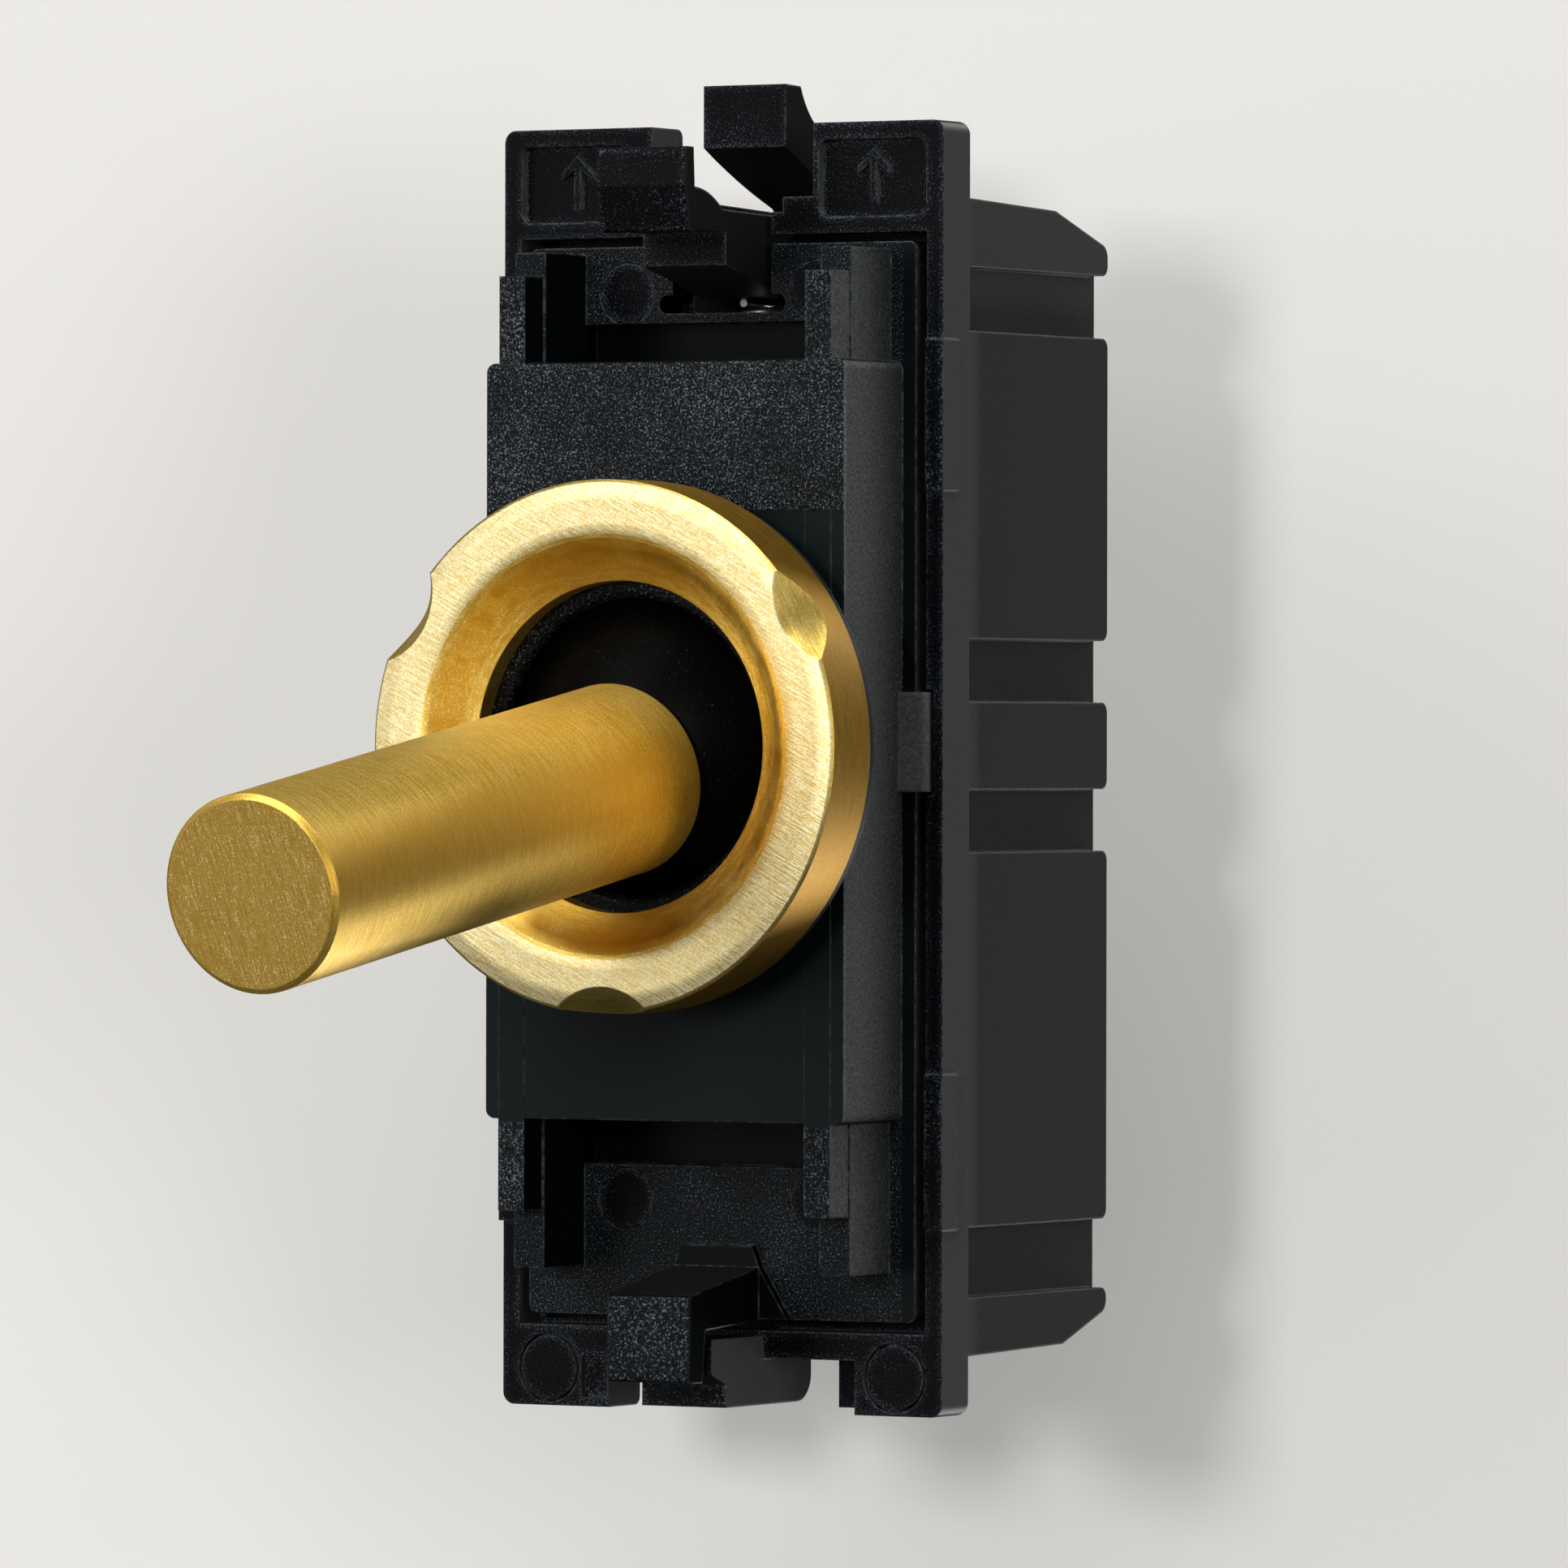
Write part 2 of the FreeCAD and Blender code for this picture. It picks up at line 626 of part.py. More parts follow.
def hook():
    """The fixed hook that holds the grid frame's lower edge, with the flared root that it grows from."""
    block = side_profile(HOOK_PROFILE, HOOK_HALF_W)
    block = rounded(block, HOOK_EDGE_R, lambda edge: edge.BoundBox.YMax < HOOK_FRONT + NEAR)
    root = front_outline((
        (-ROOT_TOP_HALF_W, ROOT_TOP), (ROOT_TOP_HALF_W, ROOT_TOP), (HOOK_HALF_W, HOOK_ROOT_TOP),
        (ROOT_FOOT_HALF_W, PLATE_BOTTOM), (-ROOT_FOOT_HALF_W, PLATE_BOTTOM), (-HOOK_HALF_W, HOOK_ROOT_TOP),
    ), (-ROOT_RISE, HOOK_ROOT_Y))
    return block.fuse(root)


def collar():
    """The threaded collar in front of the block."""
    outline = [(0, COLLAR_FRONT), (COLLAR_R - COLLAR_CHAMFER, COLLAR_FRONT)]
    outline.append((COLLAR_R, COLLAR_FRONT + COLLAR_CHAMFER))
    start = COLLAR_FRONT + COLLAR_CHAMFER + THREAD_LAND
    for turn in range(THREAD_TURNS):
        y = start + turn * THREAD_PITCH
        outline += [(COLLAR_R, y), (COLLAR_R - THREAD_DEPTH, y + THREAD_PITCH / 2),
                    (COLLAR_R, y + THREAD_PITCH - THREAD_LAND)]
    outline += [(COLLAR_R, EXTRA), (0, EXTRA)]
    return turned(outline)


def dome_space():
    """The space inside the cover for the dome, its hub and the pivot pin."""
    centre = V(0, PIVOT_Y, 0)
    reach = DOME_R + DOME_GAP
    half = DOME_HALF_W + DOME_SIDE_GAP
    ball = Part.makeSphere(reach, centre)
    rear = box((-half, half), (PIVOT_Y, ALL), (-reach, reach))
    space = ball.fuse(rear).common(box((-half, half), (-ALL, ALL), (-ALL, ALL)))
    opening = rod_y(COLLAR_OPENING_R, (-ALL, PIVOT_Y), 0, 0)
    pin_seat = rod_x(PIVOT_PIN_R, (-PIVOT_PIN_HALF_L, PIVOT_PIN_HALF_L), PIVOT_Y, 0)
    pin_path = box((-PIVOT_PIN_HALF_L, PIVOT_PIN_HALF_L), (PIVOT_Y, ALL), (-PIVOT_PIN_R, PIVOT_PIN_R))
    return [space, opening, pin_seat, pin_path]


def hold_downs():
    """The columns behind the cover that keep the terminals in place."""
    reach = (POCKET_DEPTH - EXTRA, BLOCK_Y[0])
    places = ((HOLD_X, UPPER_TERMINAL_Z), (HOLD_X, LOWER_TERMINAL_Z), (HOLD_COMMON_X, COMMON_TERMINAL_Z))
    return [box(x, reach, (z - HOLD_HALF_H, z + HOLD_HALF_H)) for x, z in places]


def locating_tabs():
    """The two tabs that reach over the groove into the rim."""
    tab = rounded_box((BLOCK_HALF_W - EXTRA, TAB_OUTER), (-TAB_RISE, TAB_DEPTH),
                      (TAB_MID_Z - TAB_HALF_H, TAB_MID_Z + TAB_HALF_H), TAB_EDGE_R, Z_AXIS)
    return [tab, mirrored_x(tab)]


def lip_rounding():
    """What rounds the inner edge of the collar's opening."""
    inner = COLLAR_OPENING_R - OVERLAP
    outer = COLLAR_OPENING_R + COLLAR_LIP_R
    front = COLLAR_FRONT - OVERLAP
    back = COLLAR_FRONT + COLLAR_LIP_R
    band = turned(((inner, front), (outer, front), (outer, back), (inner, back)))
    return band.cut(Part.makeTorus(outer, COLLAR_LIP_R, V(0, back, 0), Y_AXIS))


def cover():
    """The front moulding: plate, raised block, side walls, collar and hook."""
    plate = rounded_box((-PLATE_HALF_W, PLATE_HALF_W), (0, POCKET_DEPTH), (PLATE_BOTTOM, PLATE_TOP),
                        PLATE_CORNER_R, Y_AXIS)
    plate = plate.cut([box((-POST_INNER, POST_INNER), (-EXTRA, TRENCH_DEPTH), z) for z in TRENCHES_Z])
    parts = side_walls() + hold_downs() + locating_tabs()
    front = joined(plate, raised_block(), collar(), hook(), *parts)
    half = LATCH_HALF_W + LATCH_SIDE_GAP
    through = (-EXTRA, POCKET_DEPTH + EXTRA)
    slot = rounded_box((-SLOT_HALF_W, SLOT_HALF_W), through, (SLOT_BOTTOM, SLOT_TOP), SLOT_CORNER_R, Y_AXIS)
    latch_way = box((-half, half), through, (SLOT_BOTTOM + LATCH_SLOT_STEP, ALL))
    cuts = dome_space() + [lip_rounding(), slot, latch_way]
    for x in (-STUD_X, STUD_X):
        for z in (STUD_BOTTOM_Z, STUD_TOP_Z):
            cuts.append(rod_y(STUD_R + STUD_GAP, through, x, z))
    return front.cut(cuts).removeSplitter()


def cove_edge():
    """The hollow curve between the ring's front face and its hole."""
    start = V(RING_FACE_R, RING_FRONT, 0)
    end = V(RING_HOLE_R, RING_HOLE_FRONT, 0)
    middle = start.add(end).multiply(0.5)
    across = V(end.y - start.y, start.x - end.x, 0).normalize()
    return Part.Arc(start, middle.add(across.multiply(COVE_SAG)), end).toShape()


def nut_ring():
    """The brass ring nut with three notches in its front rim."""
    bore = COLLAR_R + THREAD_FIT
    corners = [
        (RING_HOLE_R, RING_HOLE_FRONT), (RING_HOLE_R, RING_SHOULDER), (bore, RING_SHOULDER), (bore, RING_BACK),
        (RING_R - RING_EDGE, RING_BACK), (RING_R, RING_BACK - RING_EDGE), (RING_R, RING_FRONT + RING_EDGE),
        (RING_R - RING_EDGE, RING_FRONT), (RING_FACE_R, RING_FRONT),
    ]
    lines = [Part.makeLine(V(*first, 0), V(*second, 0)) for first, second in zip(corners, corners[1:])]
    section = Part.Face(Part.Wire([cove_edge()] + lines))
    ring = section.revolve(V(0, 0, 0), Y_AXIS, 360)

    def crest(edge):
        return edge.BoundBox.YMax < RING_FRONT + NEAR and edge.BoundBox.XMax < RING_FACE_R + NEAR

    ring = rounded(ring, CREST_R, crest)
    depth = NOTCH_MOUTH_R / NOTCH_SLOPE
    for angle in NOTCH_ANGLES:
        x = NOTCH_CENTRE_R * math.cos(math.radians(angle))
        z = NOTCH_CENTRE_R * math.sin(math.radians(angle))
        mouth = NOTCH_MOUTH_R + NOTCH_SLOPE * EXTRA
        ring = ring.cut(Part.makeCone(mouth, 0, depth + EXTRA, V(x, RING_FRONT - EXTRA, z), Y_AXIS))
    return ring


def ring_washer():
    """The flat washer behind the ring nut."""
    outer = rod_y(WASHER_R, (RING_BACK, RING_BACK + WASHER_T), 0, 0)
    return outer.cut(rod_y(COLLAR_R + 2 * THREAD_FIT, (RING_BACK - EXTRA, RING_BACK + WASHER_T + EXTRA), 0, 0))


def at_pivot(distance):
    """The Y value at a distance in front of the pivot."""
    return PIVOT_Y - distance


def lever():
    """The round brass lever, hollowed at its base to sit on the dome."""
    outline = (
        (0, at_pivot(LEVER_END)), (LEVER_R - LEVER_BEVEL, at_pivot(LEVER_END)),
        (LEVER_R, at_pivot(LEVER_END - LEVER_BEVEL)), (LEVER_R, at_pivot(LEVER_BASE)),
        (0, at_pivot(LEVER_BASE)),
    )
    bar = turned(outline)
    seat = Part.makeSphere(DOME_R, V(0, PIVOT_Y, 0))
    hole = rod_y(STEM_R, (at_pivot(STEM_FRONT), 0), 0, 0)
    bar = bar.cut([seat, hole])
    base = at_pivot(math.sqrt(DOME_R ** 2 - LEVER_R ** 2))
    bar = rounded(bar, LEVER_BASE_ROUND, lambda edge: abs(edge.BoundBox.YMin - base) < NEAR
                  and edge.BoundBox.ZMax > LEVER_R - NEAR)
    return tilted(bar)


def lever_stem():
    """The steel stem that joins the lever to the dome."""
    return tilted(rod_y(STEM_R, (at_pivot(STEM_FRONT), at_pivot(STEM_REAR)), 0, 0))


def lever_dome():
    """The round-topped insulating piece that turns on the pivot pin."""
    centre = V(0, PIVOT_Y, 0)
    cap_back = at_pivot(DOME_R * math.cos(math.radians(DOME_HALF_ANGLE)))
    cap = Part.makeSphere(DOME_R, centre).common(box((-ALL, ALL), (-ALL, cap_back), (-ALL, ALL)))
    hub = rod_y(HUB_R, (cap_back - EXTRA, PIVOT_Y + HUB_END), 0, 0)
    boss = rod_x(HUB_R, (-DOME_HALF_W, DOME_HALF_W), PIVOT_Y, 0)
    web = box((-DOME_HALF_W, DOME_HALF_W), (cap_back - EXTRA, PIVOT_Y), (-HUB_WEB_HALF_H, HUB_WEB_HALF_H))
    dome = joined(cap, hub, boss, web).common(box((-DOME_HALF_W, DOME_HALF_W), (-ALL, ALL), (-ALL, ALL)))
    cuts = [
        rod_x(PIVOT_PIN_R + PIVOT_FIT, (-ALL, ALL), PIVOT_Y, 0),
        rod_y(STEM_R, (-ALL, at_pivot(STEM_REAR)), 0, 0),
        rod_y(PLUNGER_BORE_R, (PIVOT_Y + PLUNGER_BORE_START, ALL), 0, 0),
    ]
    return tilted(dome.cut(cuts))


def pivot_pin():
    """The pin that the dome turns on."""
    return rod_x(PIVOT_PIN_R, (-PIVOT_PIN_HALF_L, PIVOT_PIN_HALF_L), PIVOT_Y, 0)


def plunger():
    """The sprung plunger whose round tip works the rocker."""
    body_r = PLUNGER_BORE_R - PLUNGER_FIT
    tip_centre = PIVOT_Y + PLUNGER_REACH - PLUNGER_TIP_R
    body = rod_y(body_r, (PIVOT_Y + PLUNGER_START, PIVOT_Y + PLUNGER_SHOULDER), 0, 0)
    nose = rod_y(PLUNGER_TIP_R, (PIVOT_Y + PLUNGER_START, tip_centre), 0, 0)
    return tilted(joined(body, nose, Part.makeSphere(PLUNGER_TIP_R, V(0, tip_centre, 0))))


def plunger_spring():
    """The spring behind the plunger."""
    length = PLUNGER_START - PLUNGER_BORE_START
    spring = coil(PLUNGER_SPRING_R, PLUNGER_SPRING_WIRE_R, length, PLUNGER_SPRING_COILS)
    spring.rotate(V(0, 0, 0), X_AXIS, -90)
    spring.translate(V(0, PIVOT_Y + PLUNGER_BORE_START, 0))
    return tilted(spring)


def rocker_blade():
    """The rocking contact blade with the cradle for the plunger and two lugs for its pin."""
    strip = rounded_box((-BLADE_HALF_W, BLADE_HALF_W), (BLADE_FRONT, BLADE_FRONT + BLADE_T),
                        (-BLADE_HALF_L, BLADE_HALF_L), BLADE_CORNER_R, Y_AXIS)
    cradle = box((-BLADE_HALF_W, BLADE_HALF_W), (BLADE_FRONT, CRADLE_BACK), (-CRADLE_HALF_H, CRADLE_HALF_H))
    parts = [cradle]
    for x in ((-BLADE_HALF_W, -BLADE_HALF_W + LUG_T), (BLADE_HALF_W - LUG_T, BLADE_HALF_W)):
        parts.append(box(x, (BLADE_FRONT + BLADE_T / 2, ROCKER_PIVOT_Y), (-LUG_R, LUG_R)))
        parts.append(rod_x(LUG_R, x, ROCKER_PIVOT_Y, 0))
    blade = joined(strip, *parts)
    trough_r = PIVOT_Y + PLUNGER_REACH + CRADLE_GAP - CRADLE_AXIS_Y
    trough = rod_x(trough_r, (-ALL, ALL), CRADLE_AXIS_Y, 0)
    hole = rod_x(ROCKER_PIN_R + ROCKER_PIN_FIT, (-ALL, ALL), ROCKER_PIVOT_Y, 0)
    return rocked(blade.cut([trough, hole]))


def moving_tip():
    """The silver tip on the upper end of the blade, before rocking."""
    back = BLADE_FRONT + BLADE_T
    return rod_y(TIP_R, (back, back + TIP_T), 0, TIP_Z)


def fixed_tip():
    """The silver tip that the upper moving tip rests on."""
    front = BLADE_FRONT + BLADE_T + TIP_T + CONTACT_GAP
    return rocked(rod_y(TIP_R, (front, front + TIP_T), 0, TIP_Z))


def rocker_pin():
    """The pin that the rocker turns on."""
    return rod_x(ROCKER_PIN_R, (-ROCKER_PIN_HALF_L, ROCKER_PIN_HALF_L), ROCKER_PIVOT_Y, 0)


def terminal_block(z):
    """A brass block with a wire hole and a screw hole."""
    block = rounded_box(BLOCK_X, BLOCK_Y, (z - TERMINAL_HALF_H, z + TERMINAL_HALF_H), BLOCK_ROUND_R, X_AXIS)
    wire_hole = rod_y(WIRE_R, (BLOCK_Y[0] + RIB_T, ALL), WIRE_X, z)
    screw_hole = rod_x(SCREW_R + SCREW_FIT, (-ALL, WIRE_X), SCREW_Y, z)
    return block, [wire_hole, screw_hole]


def live_terminal():
    """The upper terminal: block and contact arm."""
    block, holes = terminal_block(UPPER_TERMINAL_Z)
    front = BLADE_FRONT + BLADE_T + 2 * TIP_T + CONTACT_GAP
    depth = (front, front + ARM_T)
    arm = rocked(box(ARM_X, depth, (ARM_INNER_Z, ARM_OUTER_Z)))
    neck = rocked(box((ARM_NECK_X, ARM_X[0] + OVERLAP), depth, (ARM_NECK_INNER_Z, ARM_OUTER_Z)))
    return joined(block, arm, neck).cut(holes)


def terminal_common():
    """The common terminal: block and the fork that holds the rocker's pin."""
    block, holes = terminal_block(COMMON_TERMINAL_Z)
    plate = box((FORK_PLATE_LEFT, FORK_OUTER), FORK_PLATE_Y, FORK_PLATE_Z)
    parts = [plate]
    for x in ((-FORK_OUTER, -FORK_INNER), (FORK_INNER, FORK_OUTER)):
        parts.append(box(x, (ROCKER_PIVOT_Y, FORK_PLATE_Y[0] + OVERLAP), (-FORK_END_R, FORK_END_R)))
        parts.append(rod_x(FORK_END_R, x, ROCKER_PIVOT_Y, 0))
    holes.append(rod_x(ROCKER_PIN_R, (-ALL, ALL), ROCKER_PIVOT_Y, 0))
    return joined(block, *parts).cut(holes)


def terminal_screw(z):
    """A slotted terminal screw, backed out to leave the wire hole free."""
    head = rod_x(SCREW_HEAD_R, SCREW_HEAD_X, SCREW_Y, z)
    head = head.makeChamfer(SCREW_CHAMFER, [edge for edge in head.Edges
                                            if edge.BoundBox.XMax < SCREW_HEAD_X[0] + NEAR])
    shank = rod_x(SCREW_R, (SCREW_HEAD_X[1] - OVERLAP, SCREW_TIP_X), SCREW_Y, z)
    half = SCREW_SLOT_W / 2
    slot = box((-ALL, SCREW_HEAD_X[0] + SCREW_SLOT_DEPTH), (-ALL, ALL), (z - half, z + half))
    return joined(head, shank).cut(slot)


def latch():
    """The latch lever: front tab, beam and rear finger rest in one piece."""
    tab = side_profile(LATCH_TAB_PROFILE, LATCH_TAB_HALF_W)
    front = LATCH_TAB_PROFILE[0][0] + NEAR
    tab = rounded(tab, LATCH_EDGE_R, lambda edge: edge.BoundBox.YMax < front)
    beam = curved_profile(LATCH_START, LATCH_BEAM_STEPS, LATCH_HALF_W)
    hole = rod_x(LATCH_PIN_R + LATCH_PIN_FIT, (-ALL, ALL), *LATCH_PIVOT)
    return joined(tab, beam).cut(hole)


def latch_pin():
    """The pin that the latch turns on."""
    return rod_x(LATCH_PIN_R, (-LATCH_PIN_HALF_L, LATCH_PIN_HALF_L), *LATCH_PIVOT)


def latch_spring():
    """The spring that lifts the latch's front tab."""
    spring = coil(LATCH_SPRING_R, LATCH_SPRING_WIRE_R, LATCH_SEAT_Z - SHELF_Z[1], LATCH_SPRING_COILS)
    spring.translate(V(0, LATCH_SPRING_Y, SHELF_Z[1]))
    return spring


def main():
    """Builds each piece and writes it to its own file."""
    upper_tip = moving_tip()
    pieces = {
        "housing": housing(),
        "cover": cover(),
        "nut_ring": nut_ring(),
        "ring_washer": ring_washer(),
        "lever": lever(),
        "lever_stem": lever_stem(),
        "lever_dome": lever_dome(),
        "pivot_pin": pivot_pin(),
        "plunger": plunger(),
        "plunger_spring": plunger_spring(),
        "rocker_blade": rocker_blade(),
        "rocker_tip_upper": rocked(upper_tip),
        "rocker_tip_lower": rocked(mirrored_z(upper_tip)),
        "rocker_pin": rocker_pin(),
        "terminal_upper": live_terminal(),
        "terminal_lower": mirrored_z(live_terminal()),
        "terminal_common": terminal_common(),
        "fixed_tip_upper": fixed_tip(),
        "fixed_tip_lower": mirrored_z(fixed_tip()),
        "screw_upper": terminal_screw(UPPER_TERMINAL_Z),
        "screw_common": terminal_screw(COMMON_TERMINAL_Z),
        "screw_lower": terminal_screw(LOWER_TERMINAL_Z),
        "latch": latch(),
        "latch_pin": latch_pin(),
        "latch_spring": latch_spring(),
    }
    os.makedirs("parts", exist_ok=True)
    for name, shape in pieces.items():
        shape.exportStep("parts/" + name + ".step")


main()
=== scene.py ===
import logging
import math
from dataclasses import dataclass
from enum import Enum
from typing import Any, Optional, Sequence, Union

import bpy
from mathutils import Matrix, Vector

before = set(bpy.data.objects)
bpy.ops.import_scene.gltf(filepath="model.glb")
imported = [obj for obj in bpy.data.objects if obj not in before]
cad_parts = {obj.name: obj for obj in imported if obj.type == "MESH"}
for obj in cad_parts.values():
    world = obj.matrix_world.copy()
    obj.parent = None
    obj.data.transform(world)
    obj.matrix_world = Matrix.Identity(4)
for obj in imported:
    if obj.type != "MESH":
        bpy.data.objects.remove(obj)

LOG = logging.getLogger("switch")
MM = 0.001

Number = Union[int, float]
Span = tuple[float, float]
Colour = tuple[float, float, float]
Operand = Union["Wire", Number]

# Where a slow change over a surface starts and ends, and where a fine one does
CLOUD_SPAN: Span = (0.3, 0.7)
GRAIN_SPAN: Span = (0.35, 0.65)

# Sockets of the Mix node: its two numbers, its two colours and the mixed colour
MIX_NUMBERS = (2, 3)
MIX_COLOURS = (6, 7)
MIX_COLOUR_RESULT = 2

BEVEL_SAMPLES = 4


# Shader building


class Wire:
    """One output of a shader tree, with arithmetic that adds the Math nodes."""

    def __init__(self, graph: "Graph", socket: bpy.types.NodeSocket) -> None:
        """Wraps a socket of a graph."""
        self.graph = graph
        self.socket = socket

    def math(self, operation: str, *others: Operand) -> "Wire":
        """Adds a Math node that starts with this wire.

        Args:
            operation: The Math node's operation.
            others: Its further inputs, as wires or numbers.

        Returns:
            The node's result.
        """
        inputs = {index: value for index, value in enumerate((self, *others))}
        return self.graph.node("ShaderNodeMath", {"operation": operation}, inputs)

    def after(self, operation: str, first: Operand) -> "Wire":
        """Adds a Math node that starts with another value and ends with this wire.

        Args:
            operation: The Math node's operation.
            first: Its first input.

        Returns:
            The node's result.
        """
        return self.graph.node("ShaderNodeMath", {"operation": operation}, {0: first, 1: self})

    def __add__(self, other: Operand) -> "Wire":
        """This plus other."""
        return self.math("ADD", other)

    def __radd__(self, other: Operand) -> "Wire":
        """Other plus this."""
        return self.after("ADD", other)

    def __sub__(self, other: Operand) -> "Wire":
        """This minus other."""
        return self.math("SUBTRACT", other)

    def __rsub__(self, other: Operand) -> "Wire":
        """Other minus this."""
        return self.after("SUBTRACT", other)

    def __mul__(self, other: Operand) -> "Wire":
        """This times other."""
        return self.math("MULTIPLY", other)

    def __rmul__(self, other: Operand) -> "Wire":
        """Other times this."""
        return self.after("MULTIPLY", other)

    def __truediv__(self, other: Operand) -> "Wire":
        """This over other."""
        return self.math("DIVIDE", other)

    def __rtruediv__(self, other: Operand) -> "Wire":
        """Other over this."""
        return self.after("DIVIDE", other)

    def __gt__(self, other: Operand) -> "Wire":
        """1 where this is above other, else 0."""
        return self.math("GREATER_THAN", other)

    def __lt__(self, other: Operand) -> "Wire":
        """1 where this is below other, else 0."""
        return self.math("LESS_THAN", other)

    def __abs__(self) -> "Wire":
        """This without its sign."""
        return self.math("ABSOLUTE")


def largest(first: Wire, *others: Operand) -> Wire:
    """The largest of several values."""
    for other in others:
        first = first.math("MAXIMUM", other)
    return first


def within(value: Wire, span: Span) -> Wire:
    """1 where a value is inside a span, else 0."""
    low, high = span
    return (value > low) * (value < high)


def swing(noise: Wire, amount: float) -> Wire:
    """A noise made to swing about 0, over that amount in all."""
    return (noise - 0.5) * amount


def from_axis(x: Wire, z: Wire) -> Wire:
    """The distance from the Y axis."""
    return (x * x + z * z).math("SQRT")


def scaled(colour: Colour, share: float) -> Colour:
    """A colour times a number."""
    red, green, blue = colour
    return red * share, green * share, blue * share


def colour4(value: Any) -> Any:
    """A colour with its alpha, or a wire as it is."""
    return value if isinstance(value, Wire) else (*value, 1.0)


class Graph:
    """The node tree of one material, built from expressions."""

    def __init__(self, name: str) -> None:
        """Makes an empty material with that name."""
        self.material = bpy.data.materials.new(name)
        self.material.use_nodes = True
        self.tree = self.material.node_tree
        self.tree.nodes.clear()

    def node(self, kind: str, settings: Optional[dict[str, Any]] = None,
             inputs: Optional[dict[Union[int, str], Any]] = None, output: Union[int, str] = 0) -> Wire:
        """Adds one node: its type, then its settings, then its inputs.

        Args:
            kind: The node's type name.
            settings: Its properties.
            inputs: Values or wires by socket name or number.
            output: The socket that is returned.

        Returns:
            The chosen output.
        """
        node = self.tree.nodes.new(kind)
        for key, value in (settings or {}).items():
            setattr(node, key, value)
        for key, value in (inputs or {}).items():
            if isinstance(value, Wire):
                self.tree.links.new(value.socket, node.inputs[key])
            else:
                node.inputs[key].default_value = value
        return Wire(self, node.outputs[output])

    def position(self) -> Wire:
        """The place on the object, in metres of the row frame."""
        return self.node("ShaderNodeTexCoord", output="Object")

    def normal(self) -> Wire:
        """The surface's normal in the world."""
        return self.node("ShaderNodeNewGeometry", output="Normal")

    def own_normal(self) -> Wire:
        """The surface's normal on the piece itself, which turns with it."""
        return self.node("ShaderNodeVectorTransform",
                         {"vector_type": "NORMAL", "convert_from": "WORLD", "convert_to": "OBJECT"},
                         {0: self.normal()})

    def placed(self, vector: Wire, offset: Sequence[float], turn: Sequence[float]) -> Wire:
        """A vector moved and then turned.

        Args:
            vector: The vector.
            offset: What is added first.
            turn: Angles about X, Y and Z, in radians.

        Returns:
            The new vector.
        """
        moved = self.node("ShaderNodeVectorMath", {"operation": "ADD"}, {0: vector, 1: tuple(offset)})
        return self.node("ShaderNodeVectorRotate", {"rotation_type": "EULER_XYZ"},
                         {"Vector": moved, "Rotation": tuple(turn)})

    def stretched(self, vector: Wire, scale: Sequence[float]) -> Wire:
        """A vector times a scale on each axis."""
        return self.node("ShaderNodeVectorMath", {"operation": "MULTIPLY"}, {0: vector, 1: tuple(scale)})

    def turn_between(self, first: Wire, second: Union[Wire, Sequence[float]]) -> Wire:
        """The cosine of the angle between two directions."""
        return self.node("ShaderNodeVectorMath", {"operation": "DOT_PRODUCT"},
                         {0: first, 1: second}, output="Value")

    def parts(self, vector: Wire) -> tuple[Wire, Wire, Wire]:
        """The three numbers of a vector."""
        split = self.node("ShaderNodeSeparateXYZ", inputs={0: vector}).socket.node
        return tuple(Wire(self, split.outputs[index]) for index in range(3))

    def joined(self, x: Operand, y: Operand, z: Operand) -> Wire:
        """A vector of three numbers."""
        return self.node("ShaderNodeCombineXYZ", inputs={0: x, 1: y, 2: z})

    def noise(self, vector: Wire, size: float = 1.0, detail: float = 3.0, roughness: float = 0.5) -> Wire:
        """Smooth noise from 0 to 1.

        Args:
            vector: The place.
            size: How large its grains are, in the units of the place.
            detail: How many finer layers it has.
            roughness: How strong the finer layers are.

        Returns:
            The noise.
        """
        return self.node("ShaderNodeTexNoise", {"noise_dimensions": "3D"},
                         {"Vector": vector, "Scale": 1.0 / size, "Detail": detail, "Roughness": roughness})

    def specks(self, vector: Wire, size: float) -> Wire:
        """Noise of small separate grains."""
        return self.noise(vector, size, detail=2.0, roughness=0.6)

    def step(self, value: Wire, low: float, high: float, to_low: float = 0.0, to_high: float = 1.0) -> Wire:
        """A smooth step between two values.

        Args:
            value: What is tested.
            low: Where the step starts.
            high: Where it ends.
            to_low: The result before the start.
            to_high: The result past the end.

        Returns:
            The result.
        """
        return self.node("ShaderNodeMapRange", {"interpolation_type": "SMOOTHSTEP"},
                         {"Value": value, "From Min": low, "From Max": high,
                          "To Min": to_low, "To Max": to_high})

    def choice(self, factor: Operand, first: Operand, second: Operand) -> Wire:
        """A mix of two numbers."""
        low, high = MIX_NUMBERS
        return self.node("ShaderNodeMix", {"data_type": "FLOAT"}, {0: factor, low: first, high: second})

    def blend(self, factor: Operand, first: Any, second: Any) -> Wire:
        """A mix of two colours."""
        low, high = MIX_COLOURS
        return self.node("ShaderNodeMix", {"data_type": "RGBA"},
                         {0: factor, low: colour4(first), high: colour4(second)}, output=MIX_COLOUR_RESULT)

    def bump(self, height: Operand, depth: float, normal: Wire) -> Wire:
        """A normal bent by a height.

        Args:
            height: The height, from 0 to 1.
            depth: What a height of 1 stands for, in metres.
            normal: The normal that is bent.

        Returns:
            The new normal.
        """
        return self.node("ShaderNodeBump", inputs={"Strength": 1.0, "Distance": depth, "Height": height,
                                                   "Normal": normal})

    def soft_edges(self, radius: float) -> Wire:
        """A normal that turns smoothly over each edge."""
        return self.node("ShaderNodeBevel", {"samples": BEVEL_SAMPLES}, {"Radius": radius})

